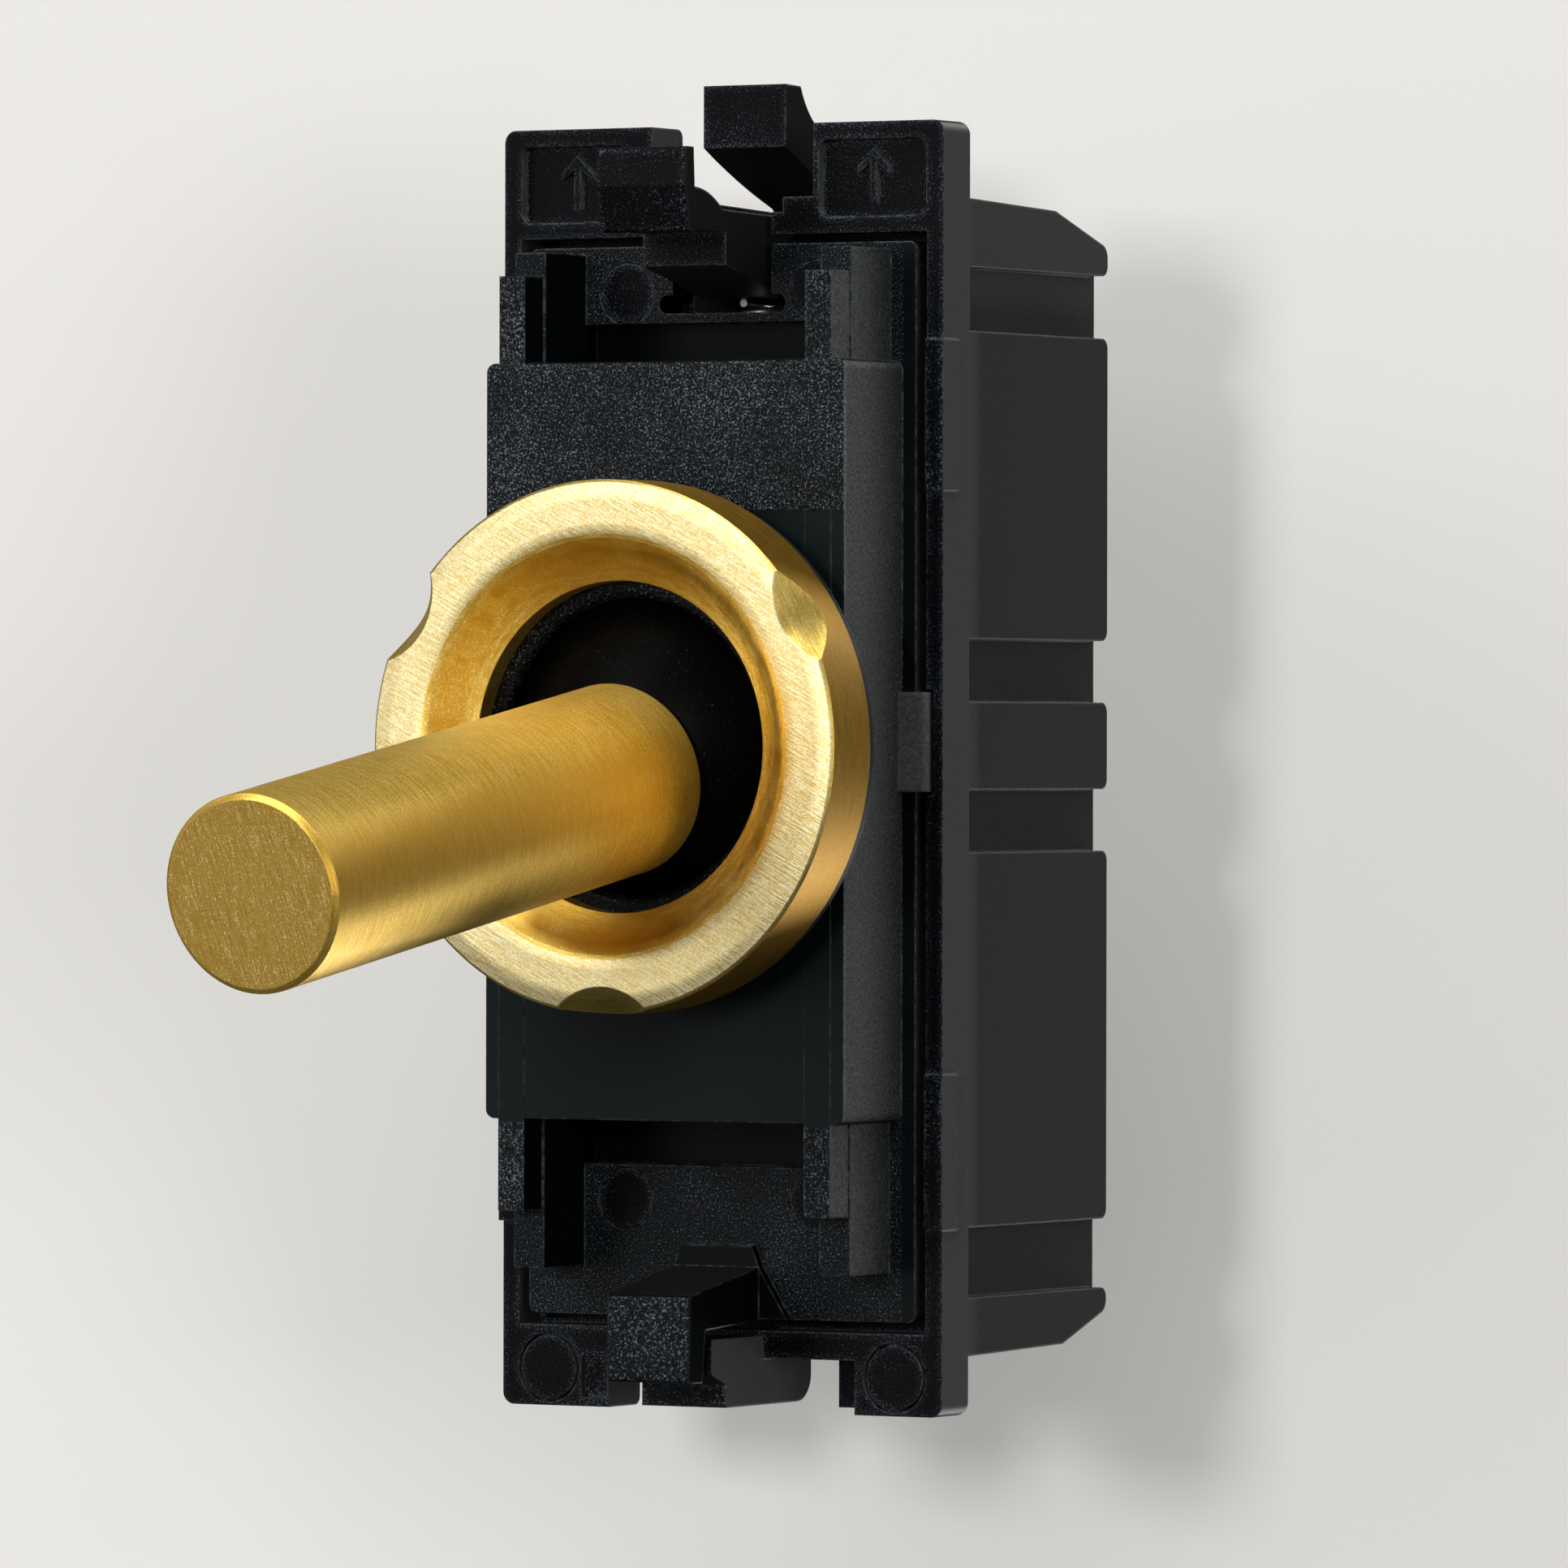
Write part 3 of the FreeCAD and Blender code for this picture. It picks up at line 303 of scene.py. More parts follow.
    def surface(self, **values: Any) -> bpy.types.Material:
        """Ends the tree in a Principled shader.

        Args:
            values: Its sockets, with _ for each space of a name.

        Returns:
            The finished material.
        """
        inputs = {key.replace("_", " "): value for key, value in values.items()}
        inputs["Base Color"] = colour4(inputs["Base Color"])
        return self.end(self.node("ShaderNodeBsdfPrincipled", inputs=inputs))

    def end(self, shader: Wire) -> bpy.types.Material:
        """Sends a shader to the material's output."""
        output = self.tree.nodes.new("ShaderNodeOutputMaterial")
        self.tree.links.new(shader.socket, output.inputs["Surface"])
        return self.material


# Finishes


@dataclass(frozen=True)
class MouldedPlastic:
    """Black or grey moulded plastic: fine grain, painted glints, scuffed glinting edges and painted face
    light.

    Lengths are in metres. A turn is the cosine between two directions, and a span is where a mask
    starts and where it is full.
    """

    name: str
    colour: Colour
    roughness: float = 0.38
    specular: float = 0.12
    # The grain, the slow change over the surface, and how far they move the roughness
    grain: float = 0.14 * MM
    grain_depth: float = 0.01 * MM
    grain_rough: float = 0.2
    flattened: float = 0.85
    cloud: float = 5 * MM
    cloud_rough: float = 0.08
    cloud_share: float = 0.4
    cloud_tone: float = 0.6
    # The colour's share in the painted shade of the shaded zone
    shade_tone: float = 0.35
    # Scuffed edges, lightened in edge_light as a painted glint along them
    edge: float = 0.16 * MM
    edge_light: Colour = (0.10, 0.11, 0.12)
    edge_turn: Span = (0.985, 0.8)
    scuff: float = 0.5 * MM
    scuff_span: Span = (0.42, 0.62)
    scuff_least: float = 0.12
    # Painted glints: bright specks for light caught by the grain, only on faces that look forwards
    spark: Colour = (0.16, 0.175, 0.19)
    spark_size: float = 0.1 * MM
    spark_from: float = 0.56
    spark_soft: Span = (-0.12, 0.02)
    spark_soft_share: float = 0.14
    spark_sharp: Span = (0.01, 0.12)
    spark_sharp_share: float = 0.86
    patchy: float = 0.0
    rim_sparks: float = 0.0
    rim: float = 0.6 * MM
    rim_turn: Span = (0.999, 0.95)
    smooth_turn: Span = (-0.85, -0.6)
    # Painted light: lighter tones of one plastic on the faces that look sideways, up, down or back
    painted_side_light: Optional[Colour] = None
    painted_back_light: Optional[Colour] = None
    side_grain: float = 0.08
    side_turn: Span = (0.5, 0.85)
    level_turn: Span = (0.85, 0.97)
    back_turn: Span = (0.3, 0.8)
    lit_y: Span = (4.2 * MM, 5.2 * MM)
    lit_rear: float = 0.62
    lit_z: Span = (18 * MM, 22 * MM)
    lit_top: float = 0.9

    def make(self) -> bpy.types.Material:
        """Builds the material."""
        graph = Graph(self.name)
        place = graph.position()
        smooth = self.smooth_zone(graph, place)
        grain = graph.noise(place, self.grain, roughness=0.65)
        cloud = graph.noise(place, self.cloud)
        scuffs = graph.noise(place, self.scuff, roughness=0.6)
        normal = graph.soft_edges(self.edge)
        clouded = graph.step(cloud, *CLOUD_SPAN, to_high=self.cloud_share)
        dark = graph.blend(clouded, self.colour, scaled(self.colour, self.cloud_tone))
        # Painted shade: darker where the shaded zone is 1
        dark = graph.blend(self.shaded_zone(graph, place), dark, scaled(self.colour, self.shade_tone))
        # Painted glints: bright specks for caught light, kept off the smooth zones
        painted_glints = self.painted_glints(graph, place, cloud) * (1.0 - smooth)
        tone = self.painted_face_light(graph, place, graph.blend(painted_glints, dark, self.spark), grain)
        # Scuffs along each edge, lit in edge_light as a painted glint
        worn_and_glint = graph.step(scuffs, *self.scuff_span, to_low=self.scuff_least)
        worn_and_glint = self.edge_band(graph, normal, self.edge_turn) * worn_and_glint
        base = graph.blend(worn_and_glint, tone, self.edge_light)
        rough = self.roughness + swing(grain, self.grain_rough) + swing(cloud, self.cloud_rough)
        height = grain * (1.0 - smooth * self.flattened)
        return graph.surface(Base_Color=base, Roughness=rough, Specular_IOR_Level=self.specular,
                             Normal=graph.bump(height, self.grain_depth, normal))

    def smooth_zone(self, graph: Graph, place: Wire) -> Wire:
        """1 where no painted glints go: here, on faces that don't look forwards.

        Args:
            graph: The material's graph.
            place: The place on the object.

        Returns:
            The zone.
        """
        _, forwards, _ = graph.parts(graph.own_normal())
        return graph.step(forwards, *self.smooth_turn)

    def shaded_zone(self, graph: Graph, place: Wire) -> Operand:
        """1 where painted shade darkens the plastic: here, nowhere."""
        return 0.0

    def painted_glints(self, graph: Graph, place: Wire, cloud: Wire) -> Wire:
        """Painted glints: small bright specks of the spark-eroded grain, denser in patches and along the
        rims.

        Args:
            graph: The material's graph.
            place: The place on the object.
            cloud: The slow change over the surface.

        Returns:
            The painted glints' strength from 0 to 1.
        """
        speck = graph.specks(place, self.spark_size) + swing(cloud, self.patchy)
        if self.rim_sparks:
            rim = self.edge_band(graph, graph.soft_edges(self.rim), self.rim_turn)
            speck = speck + rim * self.rim_sparks
        soft = graph.step(speck, *(self.spark_from + limit for limit in self.spark_soft))
        sharp = graph.step(speck, *(self.spark_from + limit for limit in self.spark_sharp))
        return soft * self.spark_soft_share + sharp * self.spark_sharp_share

    def painted_face_light(self, graph: Graph, place: Wire, front: Wire, grain: Wire) -> Wire:
        """The front's colour, with lighter tones painted as light where the plastic faces sideways, up, down
        or back.

        Args:
            graph: The material's graph.
            place: The place on the object.
            front: The front's colour.
            grain: The fine grain that varies the painted tones a little.

        Returns:
            The colour.
        """
        if self.painted_side_light is None:
            return front
        sideways, backwards, upwards = graph.parts(graph.own_normal())
        share = graph.step(abs(sideways), *self.side_turn) * self.lit_side(graph, place)
        away = largest(graph.step(backwards, *self.back_turn), graph.step(abs(upwards), *self.level_turn))
        tone = graph.blend(away, front, self.grained(graph, self.painted_back_light or self.painted_side_light, grain))
        return graph.blend(share, tone, self.grained(graph, self.painted_side_light, grain))

    def grained(self, graph: Graph, colour: Colour, grain: Wire) -> Wire:
        """A painted light tone that the fine grain varies a little."""
        return graph.blend(graph.step(grain, *GRAIN_SPAN), scaled(colour, 1.0 - self.side_grain),
                           scaled(colour, 1.0 + self.side_grain))

    def lit_side(self, graph: Graph, place: Wire) -> Wire:
        """How much of the painted side light shows: all of it at the front, and less low on the body behind.
        """
        _, y, z = graph.parts(place)
        return largest(graph.step(y, *self.lit_y, to_low=1.0, to_high=self.lit_rear),
                       graph.step(z, *self.lit_z, to_high=self.lit_top))

    @staticmethod
    def edge_band(graph: Graph, rounded: Wire, turn: Span) -> Wire:
        """A band along each edge, from how far the rounded normal turns.

        Args:
            graph: The material's graph.
            rounded: The normal that turns over the edges.
            turn: The cosines at which the band starts and is full.

        Returns:
            1 on an edge and 0 on a face.
        """
        return graph.step(graph.turn_between(rounded, graph.normal()), *turn)


@dataclass(frozen=True)
class CoverPlastic(MouldedPlastic):
    """The cover's black plastic, smooth on the lower field, in the recesses and on the hook's root; painted
    shade darkens its recesses.
    """

    # The block's smooth lower field, from its bottom to its top and behind the front of the lip
    field: Span = (-17.7 * MM, 11.05 * MM)
    field_front: float = -5.2 * MM
    field_colour: Colour = (0.007, 0.0105, 0.011)
    lip_y: float = -7.9 * MM
    # The recesses, which get painted shade, the posts' inner faces and the ledge beside them
    recess_y: float = 0.1 * MM
    inner_x: float = 8.7 * MM
    ledge_x: float = 9.85 * MM
    ledge_y: float = -0.08 * MM
    ledge_smooth: float = 0.9
    # How much rarer the painted glints are on the plate and on the collar
    thin_plate: float = 0.2
    thin_collar: float = 0.5
    # The raised root of the lower hook, partly in painted shade
    root_half: float = 3.9 * MM
    root_top: float = -23.45 * MM
    root_y: Span = (-0.45 * MM, -0.02 * MM)
    root_shade: float = 0.6
    # The locating tabs, painted lighter with a share of the painted side light
    tab_x: float = 9.8 * MM
    tab_y: Span = (-1.0 * MM, -0.08 * MM)
    tab_z: Span = (-2.2 * MM, 2.7 * MM)
    tab_tone: float = 0.6
    lit_y: Span = (-4.6 * MM, 0.4 * MM)
    lit_rear: float = 0.22

    def smooth_zone(self, graph: Graph, place: Wire) -> Wire:
        """1 on the lower field, in the recesses, on the posts' inner faces and on the hook's root.

        Args:
            graph: The material's graph.
            place: The place on the object.

        Returns:
            The zone.
        """
        x, y, _ = graph.parts(place)
        inside = super().smooth_zone(graph, place) * (abs(x) < self.inner_x) * (y > self.lip_y)
        ledge = (x > self.ledge_x) * (y > self.ledge_y) * self.ledge_smooth
        return largest(self.lower_field(graph, place), y > self.recess_y, inside, ledge,
                       self.hook_root(graph, place))

    def lower_field(self, graph: Graph, place: Wire) -> Wire:
        """1 on the smooth part of the block's front."""
        _, y, z = graph.parts(place)
        return within(z, self.field) * within(y, (self.lip_y, self.field_front))

    def hook_root(self, graph: Graph, place: Wire) -> Wire:
        """1 on the raised, smooth root of the lower hook."""
        x, y, z = graph.parts(place)
        return (abs(x) < self.root_half) * (z < self.root_top) * within(y, self.root_y)

    def shaded_zone(self, graph: Graph, place: Wire) -> Operand:
        """1 in the recesses and inside the collar, which get painted shade, and less on the hook's root."""
        _, y, _ = graph.parts(place)
        return largest(y > self.recess_y, y < self.lip_y, self.hook_root(graph, place) * self.root_shade)

    def painted_glints(self, graph: Graph, place: Wire, cloud: Wire) -> Wire:
        """The painted glints, fewer on the plate and the collar than on the block's front.

        Args:
            graph: The material's graph.
            place: The place on the object.
            cloud: The slow change over the surface.

        Returns:
            The painted glints' strength from 0 to 1.
        """
        _, y, _ = graph.parts(place)
        thin = (y > self.field_front) * self.thin_plate + (y < self.lip_y) * self.thin_collar
        return super().painted_glints(graph, place, cloud - thin)

    def lit_side(self, graph: Graph, place: Wire) -> Wire:
        """How much of the painted side light shows: on the outer sides only, and less towards the back."""
        x, y, _ = graph.parts(place)
        return (x > self.inner_x) * graph.step(y, *self.lit_y, to_low=1.0, to_high=self.lit_rear)

    def painted_face_light(self, graph: Graph, place: Wire, front: Wire, grain: Wire) -> Wire:
        """The tones of all plastics, with the lower field in its own colour and painted light on the locating
        tabs.

        Args:
            graph: The material's graph.
            place: The place on the object.
            front: The front's colour.
            grain: The fine grain that varies the painted tones a little.

        Returns:
            The colour.
        """
        x, y, z = graph.parts(place)
        tab = (abs(x) > self.tab_x) * within(y, self.tab_y) * within(z, self.tab_z)
        # The tabs' painted light: a share of the painted side light, varied by the grain
        matt = graph.blend(graph.step(grain, *GRAIN_SPAN), scaled(self.painted_side_light, self.tab_tone),
                           self.painted_side_light)
        field = graph.blend(self.lower_field(graph, place), front, self.field_colour)
        return graph.blend(tab, super().painted_face_light(graph, place, field, grain), matt)


class Brushing(Enum):
    """How the brass is worked."""

    RING = "ring"
    LEVER = "lever"


@dataclass(frozen=True)
class BrushedBrass:
    """Brushed brass whose lines follow the way the piece was turned or sanded.

    Lengths are in metres. A mix is the shares of lines and specks.
    """

    name: str
    brushing: Brushing
    # flat: the sanded faces, paler as a painted sheen on the ring's face, darker as painted shade on the
    # lever's end
    flat: Colour = (0.90, 0.79, 0.46)
    round: Colour = (0.84, 0.64, 0.17)
    # side: the ring's outer side, painted darker as shade
    side: Colour = (0.56, 0.33, 0.045)
    # pale: painted glints on the lines and specks
    pale: Colour = (1.0, 0.93, 0.66)
    # The tint of the painted shade on the lines and the dark bands
    painted_shade_tint: Colour = (0.80, 0.68, 0.42)
    roughness: float = 0.38
    metallic: float = 1.0
    # Lines, specks and the slow change over the surface
    line: float = 0.09 * MM
    run: float = 1.4 * MM
    line_depth: float = 0.022 * MM
    line_rough: float = 0.2
    speck: float = 0.085 * MM
    cloud: float = 3.5 * MM
    cloud_rough: float = 0.06
    mark_mix: Span = (0.55, 0.45)
    mark_span: Span = (0.40, 0.58)
    glitter_mix: Span = (0.4, 0.6)
    glitter_span: Span = (0.565, 0.64)
    glitter_share: float = 0.7
    height_mix: Span = (0.7, 0.3)
    edge: float = 0.08 * MM
    # The ring
    ring_face_y: float = -11.0 * MM
    ring_face_r: float = 9.7 * MM
    ring_side_r: float = 12.35 * MM
    rim_drop: float = 0.22 * MM
    rim_from: float = 0.9 * MM
    rim_past: float = 0.3 * MM
    # Where the painted shade lies on the ring's outer side
    side_from: float = 0.4 * MM
    side_turn: Span = (-0.6, -0.2)
    # Painted shade at the top and bottom of the cove
    cove_span: Span = (0.7, 0.97)
    cove_share: float = 0.7
    arc_radius: float = 10 * MM
    sanding_angle: float = math.radians(28)
    # The lever
    lever_turn: float = math.radians(-9.08)
    pivot_y: float = -0.22 * MM
    lever_end: float = 41.3 * MM
    end_turn: float = 0.97
    end_angle: float = math.radians(14)
    # Painted shade along the lever's flanks
    flank_aim: Span = (0.985, 0.17)
    flank_span: Span = (0.86, 1.0)
    flank_share: float = 0.6

    def make(self) -> bpy.types.Material:
        """Builds the material."""
        graph = Graph(self.name)
        lines, face = self.ring_lines(graph) if self.brushing is Brushing.RING else self.lever_lines(graph)
        place = graph.position()
        cloud = graph.noise(place, self.cloud)
        speck = graph.specks(place, self.speck)
        # The ring's outer side, painted darker as shade
        outer = self.painted_side_shade(graph)
        metal = graph.blend(outer, graph.blend(face, self.round, self.flat), self.side)
        # Painted shade of the brushed lines, shown through the marks
        shadow = graph.blend(face, self.painted_shade(self.round), self.painted_shade(self.flat))
        shadow = graph.blend(outer, shadow, self.painted_shade(self.side))
        marks = graph.step(self.mixed(lines, speck, self.mark_mix), *self.mark_span)
        # Painted glints: pale streaks on the lines and specks
        glitter = graph.step(self.mixed(lines, speck, self.glitter_mix), *self.glitter_span)
        glitter = glitter * (1.0 - outer) * self.glitter_share
        tone = graph.blend(glitter, graph.blend(marks, shadow, metal), self.pale)
        # Painted shade: dark bands on the lever's flanks and at the cove's top and bottom
        band = self.painted_dark_band(graph) * (1.0 - face)
        tone = graph.blend(band, tone, self.painted_shade(self.painted_shade(self.round)))
        rough = self.roughness + swing(lines, self.line_rough) + swing(cloud, self.cloud_rough)
        shape = graph.bump(self.rim_fall(graph), self.rim_drop, graph.soft_edges(self.edge))
        normal = graph.bump(self.mixed(lines, speck, self.height_mix), self.line_depth, shape)
        return graph.surface(Base_Color=tone, Metallic=self.metallic, Roughness=rough, Normal=normal)

    @staticmethod
    def mixed(lines: Wire, speck: Wire, shares: Span) -> Wire:
        """The lines and the specks together, each times its share."""
        return lines * shares[0] + speck * shares[1]

    def rim_fall(self, graph: Graph) -> Operand:
        """1 on the ring's face, falling to 0 at its outer edge, which the sanding has rounded."""
        if self.brushing is not Brushing.RING:
            return 1.0
        x, _, z = graph.parts(graph.position())
        return graph.step(from_axis(x, z), self.ring_side_r - self.rim_from, self.ring_side_r + self.rim_past,
                          to_low=1.0, to_high=0.0)

    def painted_dark_band(self, graph: Graph) -> Wire:
        """Where painted shade darkens the metal: along the lever's flanks, and at the top and bottom of the
        ring's cove.
        """
        if self.brushing is Brushing.LEVER:
            x, _, z = graph.parts(self.lever_place(graph))
            across, up = self.flank_aim
            share = (abs(x) * across + z * up) / from_axis(x, z)
            return graph.step(share, *self.flank_span) * self.flank_share
        x, _, z = graph.parts(graph.position())
        radius = from_axis(x, z)
        return graph.step(abs(z) / radius, *self.cove_span) * (radius < self.ring_face_r) * self.cove_share

    def painted_side_shade(self, graph: Graph) -> Operand:
        """1 on the ring's outer side, painted a deeper gold as shade; the lever has none."""
        if self.brushing is not Brushing.RING:
            return 0.0
        x, _, z = graph.parts(graph.position())
        _, forwards, _ = graph.parts(graph.own_normal())
        outside = graph.step(from_axis(x, z), self.ring_side_r - self.side_from, self.ring_side_r)
        return outside * graph.step(forwards, *self.side_turn)

    def painted_shade(self, colour: Colour) -> Colour:
        """The darker, warmer painted shade of brass of that colour, on the lines and the dark bands."""
        red, green, blue = (part * share for part, share in zip(colour, self.painted_shade_tint))
        return red, green, blue

    def along(self, graph: Graph, across: Wire, around: Wire) -> Wire:
        """Noise that is fine across the lines and long along them.

        Args:
            graph: The material's graph.
            across: The place across the lines, in metres.
            around: The place along them, in metres.

        Returns:
            The noise.
        """
        vector = graph.joined(across * (1.0 / self.line), around * (1.0 / self.run), 0.0)
        return graph.noise(vector, roughness=0.65)

    def ring_lines(self, graph: Graph) -> tuple[Wire, Wire]:
        """The ring's lines: straight sanding on its front, and turned lines on its other faces.

        Args:
            graph: The material's graph.

        Returns:
            The lines, and 1 on the sanded face.
        """
        x, y, z = graph.parts(graph.position())
        radius = from_axis(x, z)
        arc = z.math("ARCTAN2", x) * self.arc_radius
        face = (y < self.ring_face_y) * within(radius, (self.ring_face_r, self.ring_side_r))
        sine, cosine = math.sin(self.sanding_angle), math.cos(self.sanding_angle)
        sanded = self.along(graph, x * sine + z * cosine, x * cosine - z * sine)
        return graph.choice(face, self.along(graph, radius + y, arc), sanded), face

    def lever_lines(self, graph: Graph) -> tuple[Wire, Wire]:
        """The lever's lines: round it, and straight sanding on its end.

        Args:
            graph: The material's graph.

        Returns:
            The lines, and 1 on the sanded end.
        """
        x, y, z = graph.parts(self.lever_place(graph))
        axis = (0.0, -math.cos(self.lever_turn), math.sin(self.lever_turn))
        end = (graph.turn_between(graph.own_normal(), axis) > self.end_turn) * (y < -self.lever_end)
        sine, cosine = math.sin(self.end_angle), math.cos(self.end_angle)
        sanded = self.along(graph, x * cosine + z * sine, z * cosine - x * sine)
        vector = graph.joined(x * (1.0 / self.run), y * (1.0 / self.line), z * (1.0 / self.run))
        return graph.choice(end, graph.noise(vector, roughness=0.65), sanded), end

    def lever_place(self, graph: Graph) -> Wire:
        """The place on the lever, with its pivot at 0 and its axis along Y."""
        return graph.placed(graph.position(), (0.0, -self.pivot_y, 0.0), (self.lever_turn, 0.0, 0.0))


@dataclass(frozen=True)
class WorkedMetal:
    """Plated, pressed or machined metal with fine marks."""

    name: str
    colour: Colour
    roughness: float = 0.32
    stretch: tuple[float, float, float] = (1.0, 1.0, 1.0)
    mark: float = 0.12 * MM
    mark_depth: float = 0.006 * MM
    mark_rough: float = 0.15
    cloud: float = 2.5 * MM
    cloud_rough: float = 0.12
    cloud_tone: float = 0.8
    edge: float = 0.06 * MM

    def make(self) -> bpy.types.Material:
        """Builds the material."""
        graph = Graph(self.name)
        place = graph.position()
        marks = graph.noise(graph.stretched(place, self.stretch), self.mark, roughness=0.6)
        cloud = graph.noise(place, self.cloud)
        base = graph.blend(graph.step(cloud, *CLOUD_SPAN), self.colour, scaled(self.colour, self.cloud_tone))
        rough = self.roughness + swing(marks, self.mark_rough) + swing(cloud, self.cloud_rough)
        normal = graph.bump(marks, self.mark_depth, graph.soft_edges(self.edge))
        return graph.surface(Base_Color=base, Metallic=1.0, Roughness=rough, Normal=normal)


def dress(node: str, material: bpy.types.Material) -> None:
    """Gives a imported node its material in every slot."""
    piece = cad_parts[node]
    if not piece.data.materials:
        piece.data.materials.append(material)
    for slot in piece.material_slots:
        slot.material = material
    LOG.info("dressed %s with %s", node, material.name)


# Sub-assemblies


@dataclass
class BodyMouldings:
    """The housing and the cover."""

    housing: MouldedPlastic = MouldedPlastic(
        "housing_grey", (0.0012, 0.0016, 0.0022), specular=0.05, spark=(0.10, 0.115, 0.135), spark_from=0.67,
        patchy=0.3, rim_sparks=0.12, painted_side_light=(0.073, 0.077, 0.075), painted_back_light=(0.034, 0.036, 0.035))
    cover: CoverPlastic = CoverPlastic(
        "cover_black", (0.0022, 0.0036, 0.0042), roughness=0.34, specular=0.055, grain_depth=0.02 * MM,
        spark=(0.165, 0.185, 0.215), spark_from=0.575, patchy=0.16, painted_side_light=(0.11, 0.114, 0.112),
        painted_back_light=(0.014, 0.0145, 0.0145), side_grain=0.35)

    def build(self) -> None:
        """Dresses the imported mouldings."""
        dress("housing", self.housing.make())
        dress("cover", self.cover.make())


@dataclass
class RingAndLever:
    """The brass ring nut and lever, the washer and the dome."""

    ring: BrushedBrass = BrushedBrass("ring_brass", Brushing.RING, roughness=0.45)
    # The lever's end (flat) is painted darker than its round faces, as shade
    lever: BrushedBrass = BrushedBrass(
        "lever_brass", Brushing.LEVER, flat=(0.50, 0.33, 0.07), round=(0.98, 0.68, 0.13),
        pale=(0.95, 0.80, 0.42), roughness=0.40, metallic=0.82)
    dome: MouldedPlastic = MouldedPlastic(
        "dome_black", (0.0009, 0.0008, 0.0005), roughness=0.4, specular=0.03, grain_depth=0.002 * MM,
        spark_from=0.75)
    washer: MouldedPlastic = MouldedPlastic(
        "washer_black", (0.012, 0.012, 0.0125), roughness=0.5, specular=0.3)

    def build(self) -> None:
        """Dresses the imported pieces."""
        dress("nut_ring", self.ring.make())
        dress("lever", self.lever.make())
        dress("lever_dome", self.dome.make())
        dress("ring_washer", self.washer.make())


@dataclass
class LatchGroup:
    """The latch, its pin and its spring."""

    plastic: MouldedPlastic = MouldedPlastic(
        "latch_black", (0.0011, 0.0014, 0.002), roughness=0.36, specular=0.05, spark=(0.11, 0.125, 0.15),
        spark_from=0.66, patchy=0.35, rim_sparks=0.1, painted_side_light=(0.013, 0.014, 0.014),
        painted_back_light=(0.022, 0.023, 0.023))
    steel: WorkedMetal = WorkedMetal("latch_steel", (0.58, 0.58, 0.60))

    def build(self) -> None:
        """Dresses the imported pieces."""
        dress("latch", self.plastic.make())
        steel = self.steel.make()
        dress("latch_pin", steel)
        dress("latch_spring", steel)


@dataclass
class ContactGroup:
    """What carries the current, and what works it."""

    steel: WorkedMetal = WorkedMetal("pin_steel", (0.56, 0.57, 0.58), roughness=0.3)
    screw: WorkedMetal = WorkedMetal(
        "screw_steel", (0.6, 0.6, 0.58), roughness=0.28, stretch=(1.0, 6.0, 6.0))
    brass: WorkedMetal = WorkedMetal(
        "contact_brass", (0.72, 0.52, 0.22), roughness=0.3, stretch=(1.0, 1.0, 8.0))
    copper: WorkedMetal = WorkedMetal(
        "blade_copper", (0.75, 0.42, 0.26), roughness=0.3, stretch=(8.0, 1.0, 1.0))
    silver: WorkedMetal = WorkedMetal("tip_silver", (0.82, 0.82, 0.80), roughness=0.35)
    nylon: MouldedPlastic = MouldedPlastic(
        "plunger_white", (0.7, 0.68, 0.6), roughness=0.4, specular=0.4, edge_light=(0.8, 0.78, 0.7),
        spark=(0.8, 0.78, 0.7))

    def build(self) -> None:
        """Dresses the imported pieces."""
        groups = (
            (self.steel, ("pivot_pin", "rocker_pin", "lever_stem", "plunger_spring")),
            (self.screw, ("screw_upper", "screw_common", "screw_lower")),
            (self.brass, ("terminal_upper", "terminal_common", "terminal_lower")),
            (self.copper, ("rocker_blade",)),
            (self.silver, ("rocker_tip_upper", "rocker_tip_lower", "fixed_tip_upper", "fixed_tip_lower")),
            (self.nylon, ("plunger",)),
        )
        for finish, nodes in groups:
            material = finish.make()
            for node in nodes:
                dress(node, material)


# Studio


def direction(azimuth: float, elevation: float) -> Vector:
    """The direction that an azimuth and an elevation name.

    Args:
        azimuth: Degrees, 0 in front and 90 to the right.
        elevation: Degrees above level.

    Returns:
        The direction, away from the object.
    """
    a, e = math.radians(azimuth), math.radians(elevation)
    return Vector((math.sin(a) * math.cos(e), -math.cos(a) * math.cos(e), math.sin(e)))


def facing(way: Vector) -> Matrix:
    """The turn that points Z along a direction."""
    return way.to_track_quat("Z", "Y").to_matrix().to_4x4()


@dataclass(frozen=True)
class SoftLight:
    """One soft light that faces the object, with its direction in degrees, its power and its size."""

    name: str
    azimuth: float
    elevation: float
    power: float
    size: tuple[float, float] = (1.2, 1.2)
    distance: float = 2.8

    def build(self) -> None:
        """Adds the light."""
        data = bpy.data.lights.new(self.name, "AREA")
        data.shape = "RECTANGLE"
        data.size, data.size_y = self.size
        data.energy = self.power
        lamp = bpy.data.objects.new(self.name, data)
        bpy.context.scene.collection.objects.link(lamp)
        away = direction(self.azimuth, self.elevation)
        lamp.matrix_world = Matrix.Translation(away * self.distance) @ facing(away)


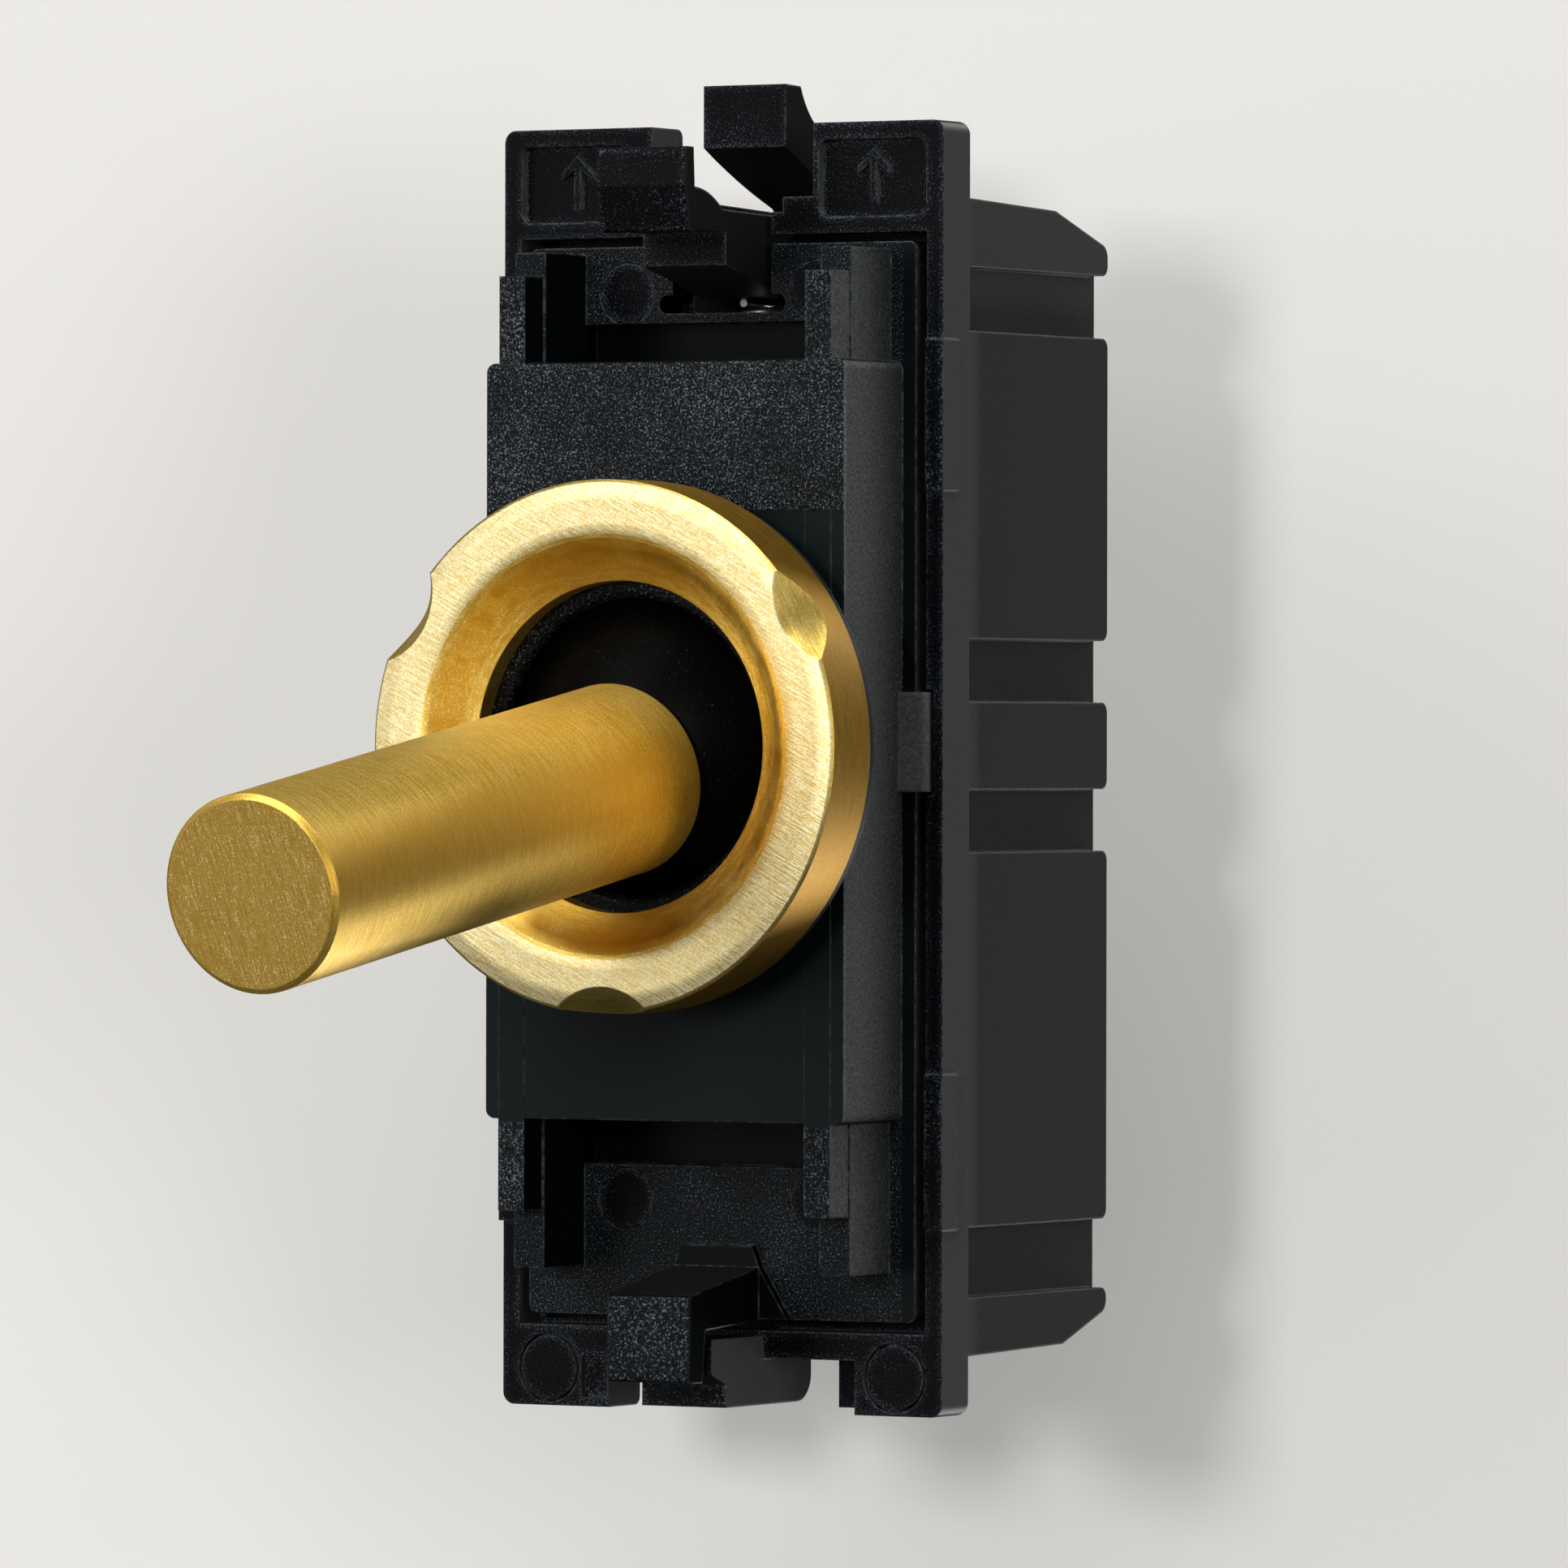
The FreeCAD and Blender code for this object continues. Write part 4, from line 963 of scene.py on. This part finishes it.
@dataclass
class Studio:
    """The camera, the backdrop, the floor and the lights."""

    azimuth: float = 30.062
    elevation: float = 0.199
    roll: float = 0.095
    distance: float = 577.18 * MM
    focal_px: float = 15060.7
    image_px: float = 1932.0
    sensor: float = 36.0
    clip: Span = (0.01, 20.0)
    target: tuple[float, float, float] = (2.565 * MM, 1.485 * MM, -1.746 * MM)
    wall_depth: float = 26 * MM
    wall_half: float = 0.6
    floor_z: float = -90 * MM
    wall_colour: Colour = (0.80, 0.783, 0.75)
    floor_colour: Colour = (0.60, 0.587, 0.56)
    wall_glow: float = 0.13
    fibre: float = 0.4 * MM
    fibre_span: Span = (0.2, 0.8)
    fibre_share: float = 0.02
    fibre_tone: float = 0.9
    world_colour: Colour = (0.74, 0.73, 0.70)
    ambient_colour: Colour = (0.95, 0.98, 1.0)
    ambient: float = 0.07
    # The key in front, a little to the right and above; the fills; what lights the side and the rear
    lamps: tuple[SoftLight, ...] = (
        SoftLight("key", 5.0, 9.0, 24.0, size=(0.36, 0.36)),
        SoftLight("far_left_card", -70.0, 0.0, 9.0),
        SoftLight("left_card", -30.0, 30.0, 18.0),
        SoftLight("left_high_card", -30.0, 60.0, 11.0),
        SoftLight("left_fill", -30.0, 6.0, 13.5, size=(1.2, 2.4)),
        SoftLight("top_card", 30.0, 75.0, 60.0),
        SoftLight("right_card", 65.0, 5.0, 16.0),
        SoftLight("side_card", 110.0, 0.0, 4.0),
        SoftLight("side_high_card", 128.0, 30.0, 3.0),
        SoftLight("low_side_rear", 150.0, -25.0, 3.5),
        SoftLight("low_rear", 176.0, -28.0, 31.0),
        SoftLight("top_rear", 176.0, 28.0, 19.0),
    )

    def build(self) -> None:
        """Makes everything round the object."""
        self.camera()
        self.stage()
        for lamp in self.lamps:
            lamp.build()
        self.world()
        LOG.info("studio is ready")

    def camera(self) -> None:
        """Puts the camera where the photograph was taken from."""
        data = bpy.data.cameras.new("camera")
        data.sensor_width = self.sensor
        data.lens = self.focal_px / self.image_px * self.sensor
        data.clip_start, data.clip_end = self.clip
        camera = bpy.data.objects.new("camera", data)
        bpy.context.scene.collection.objects.link(camera)
        back = direction(self.azimuth, self.elevation)
        turn = (-back).to_track_quat("-Z", "Y").to_matrix().to_4x4()
        rolled = turn @ Matrix.Rotation(math.radians(self.roll), 4, "Z")
        camera.matrix_world = Matrix.Translation(Vector(self.target) + back * self.distance) @ rolled
        bpy.context.scene.camera = camera

    def sheet_material(self, name: str, colour: Colour, strength: float) -> bpy.types.Material:
        """Pale matt paper that only the camera sees, and only from its front.

        Args:
            name: The material's name.
            colour: The paper's colour.
            strength: How strongly it glows.

        Returns:
            The material.
        """
        graph = Graph(name)
        fibres = graph.noise(graph.position(), self.fibre)
        shade = graph.step(fibres, *self.fibre_span, to_high=self.fibre_share)
        base = graph.blend(shade, colour, scaled(colour, self.fibre_tone))
        matt = graph.node("ShaderNodeBsdfDiffuse", inputs={"Color": base})
        glow = graph.node("ShaderNodeEmission", inputs={"Color": colour4(colour), "Strength": strength})
        paper = graph.node("ShaderNodeAddShader", inputs={0: matt, 1: glow})
        clear = graph.node("ShaderNodeBsdfTransparent")
        seen = graph.node("ShaderNodeLightPath", output="Is Camera Ray")
        behind = graph.node("ShaderNodeNewGeometry", output="Backfacing")
        shown = seen * (1.0 - behind)
        return graph.end(graph.node("ShaderNodeMixShader", inputs={0: shown, 1: clear, 2: paper}))

    def stage(self) -> None:
        """Makes the backdrop behind the object and the floor far below it."""
        back = direction(self.azimuth, self.elevation)
        wall = Matrix.Translation(Vector(self.target) - back * self.wall_depth) @ facing(back)
        sheets = (("backdrop", wall, self.wall_colour, self.wall_glow),
                  ("floor", Matrix.Translation((0.0, 0.0, self.floor_z)), self.floor_colour, 0.0))
        for name, matrix, colour, strength in sheets:
            bpy.ops.mesh.primitive_plane_add(size=2 * self.wall_half, location=(0.0, 0.0, 0.0))
            sheet = bpy.context.active_object
            sheet.name = name
            sheet.data.transform(matrix)
            sheet.data.materials.append(self.sheet_material(name + "_paper", colour, strength))

    def world(self) -> None:
        """Lights the object evenly from all sides, and shows the pale backdrop colour."""
        world = bpy.data.worlds.new("studio")
        bpy.context.scene.world = world
        world.use_nodes = True
        tree = world.node_tree
        tree.nodes.clear()
        paths = tree.nodes.new("ShaderNodeLightPath")
        seen = tree.nodes.new("ShaderNodeBackground")
        seen.inputs["Color"].default_value = colour4(self.world_colour)
        ambient = tree.nodes.new("ShaderNodeBackground")
        ambient.inputs["Color"].default_value = colour4(self.ambient_colour)
        ambient.inputs["Strength"].default_value = self.ambient
        mix = tree.nodes.new("ShaderNodeMixShader")
        output = tree.nodes.new("ShaderNodeOutputWorld")
        tree.links.new(paths.outputs["Is Camera Ray"], mix.inputs[0])
        tree.links.new(ambient.outputs[0], mix.inputs[1])
        tree.links.new(seen.outputs[0], mix.inputs[2])
        tree.links.new(mix.outputs[0], output.inputs["Surface"])
        bpy.context.scene.view_settings.view_transform = "Standard"


def deselect() -> None:
    """Leaves nothing selected."""
    bpy.ops.object.select_all(action="DESELECT")


def main() -> None:
    """Builds the scene's classes in order."""
    logging.basicConfig(level=logging.INFO, format="%(name)s: %(message)s")
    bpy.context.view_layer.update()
    deselect()
    for group in (BodyMouldings(), RingAndLever(), LatchGroup(), ContactGroup(), Studio()):
        group.build()


if __name__ == "__main__":
    main()
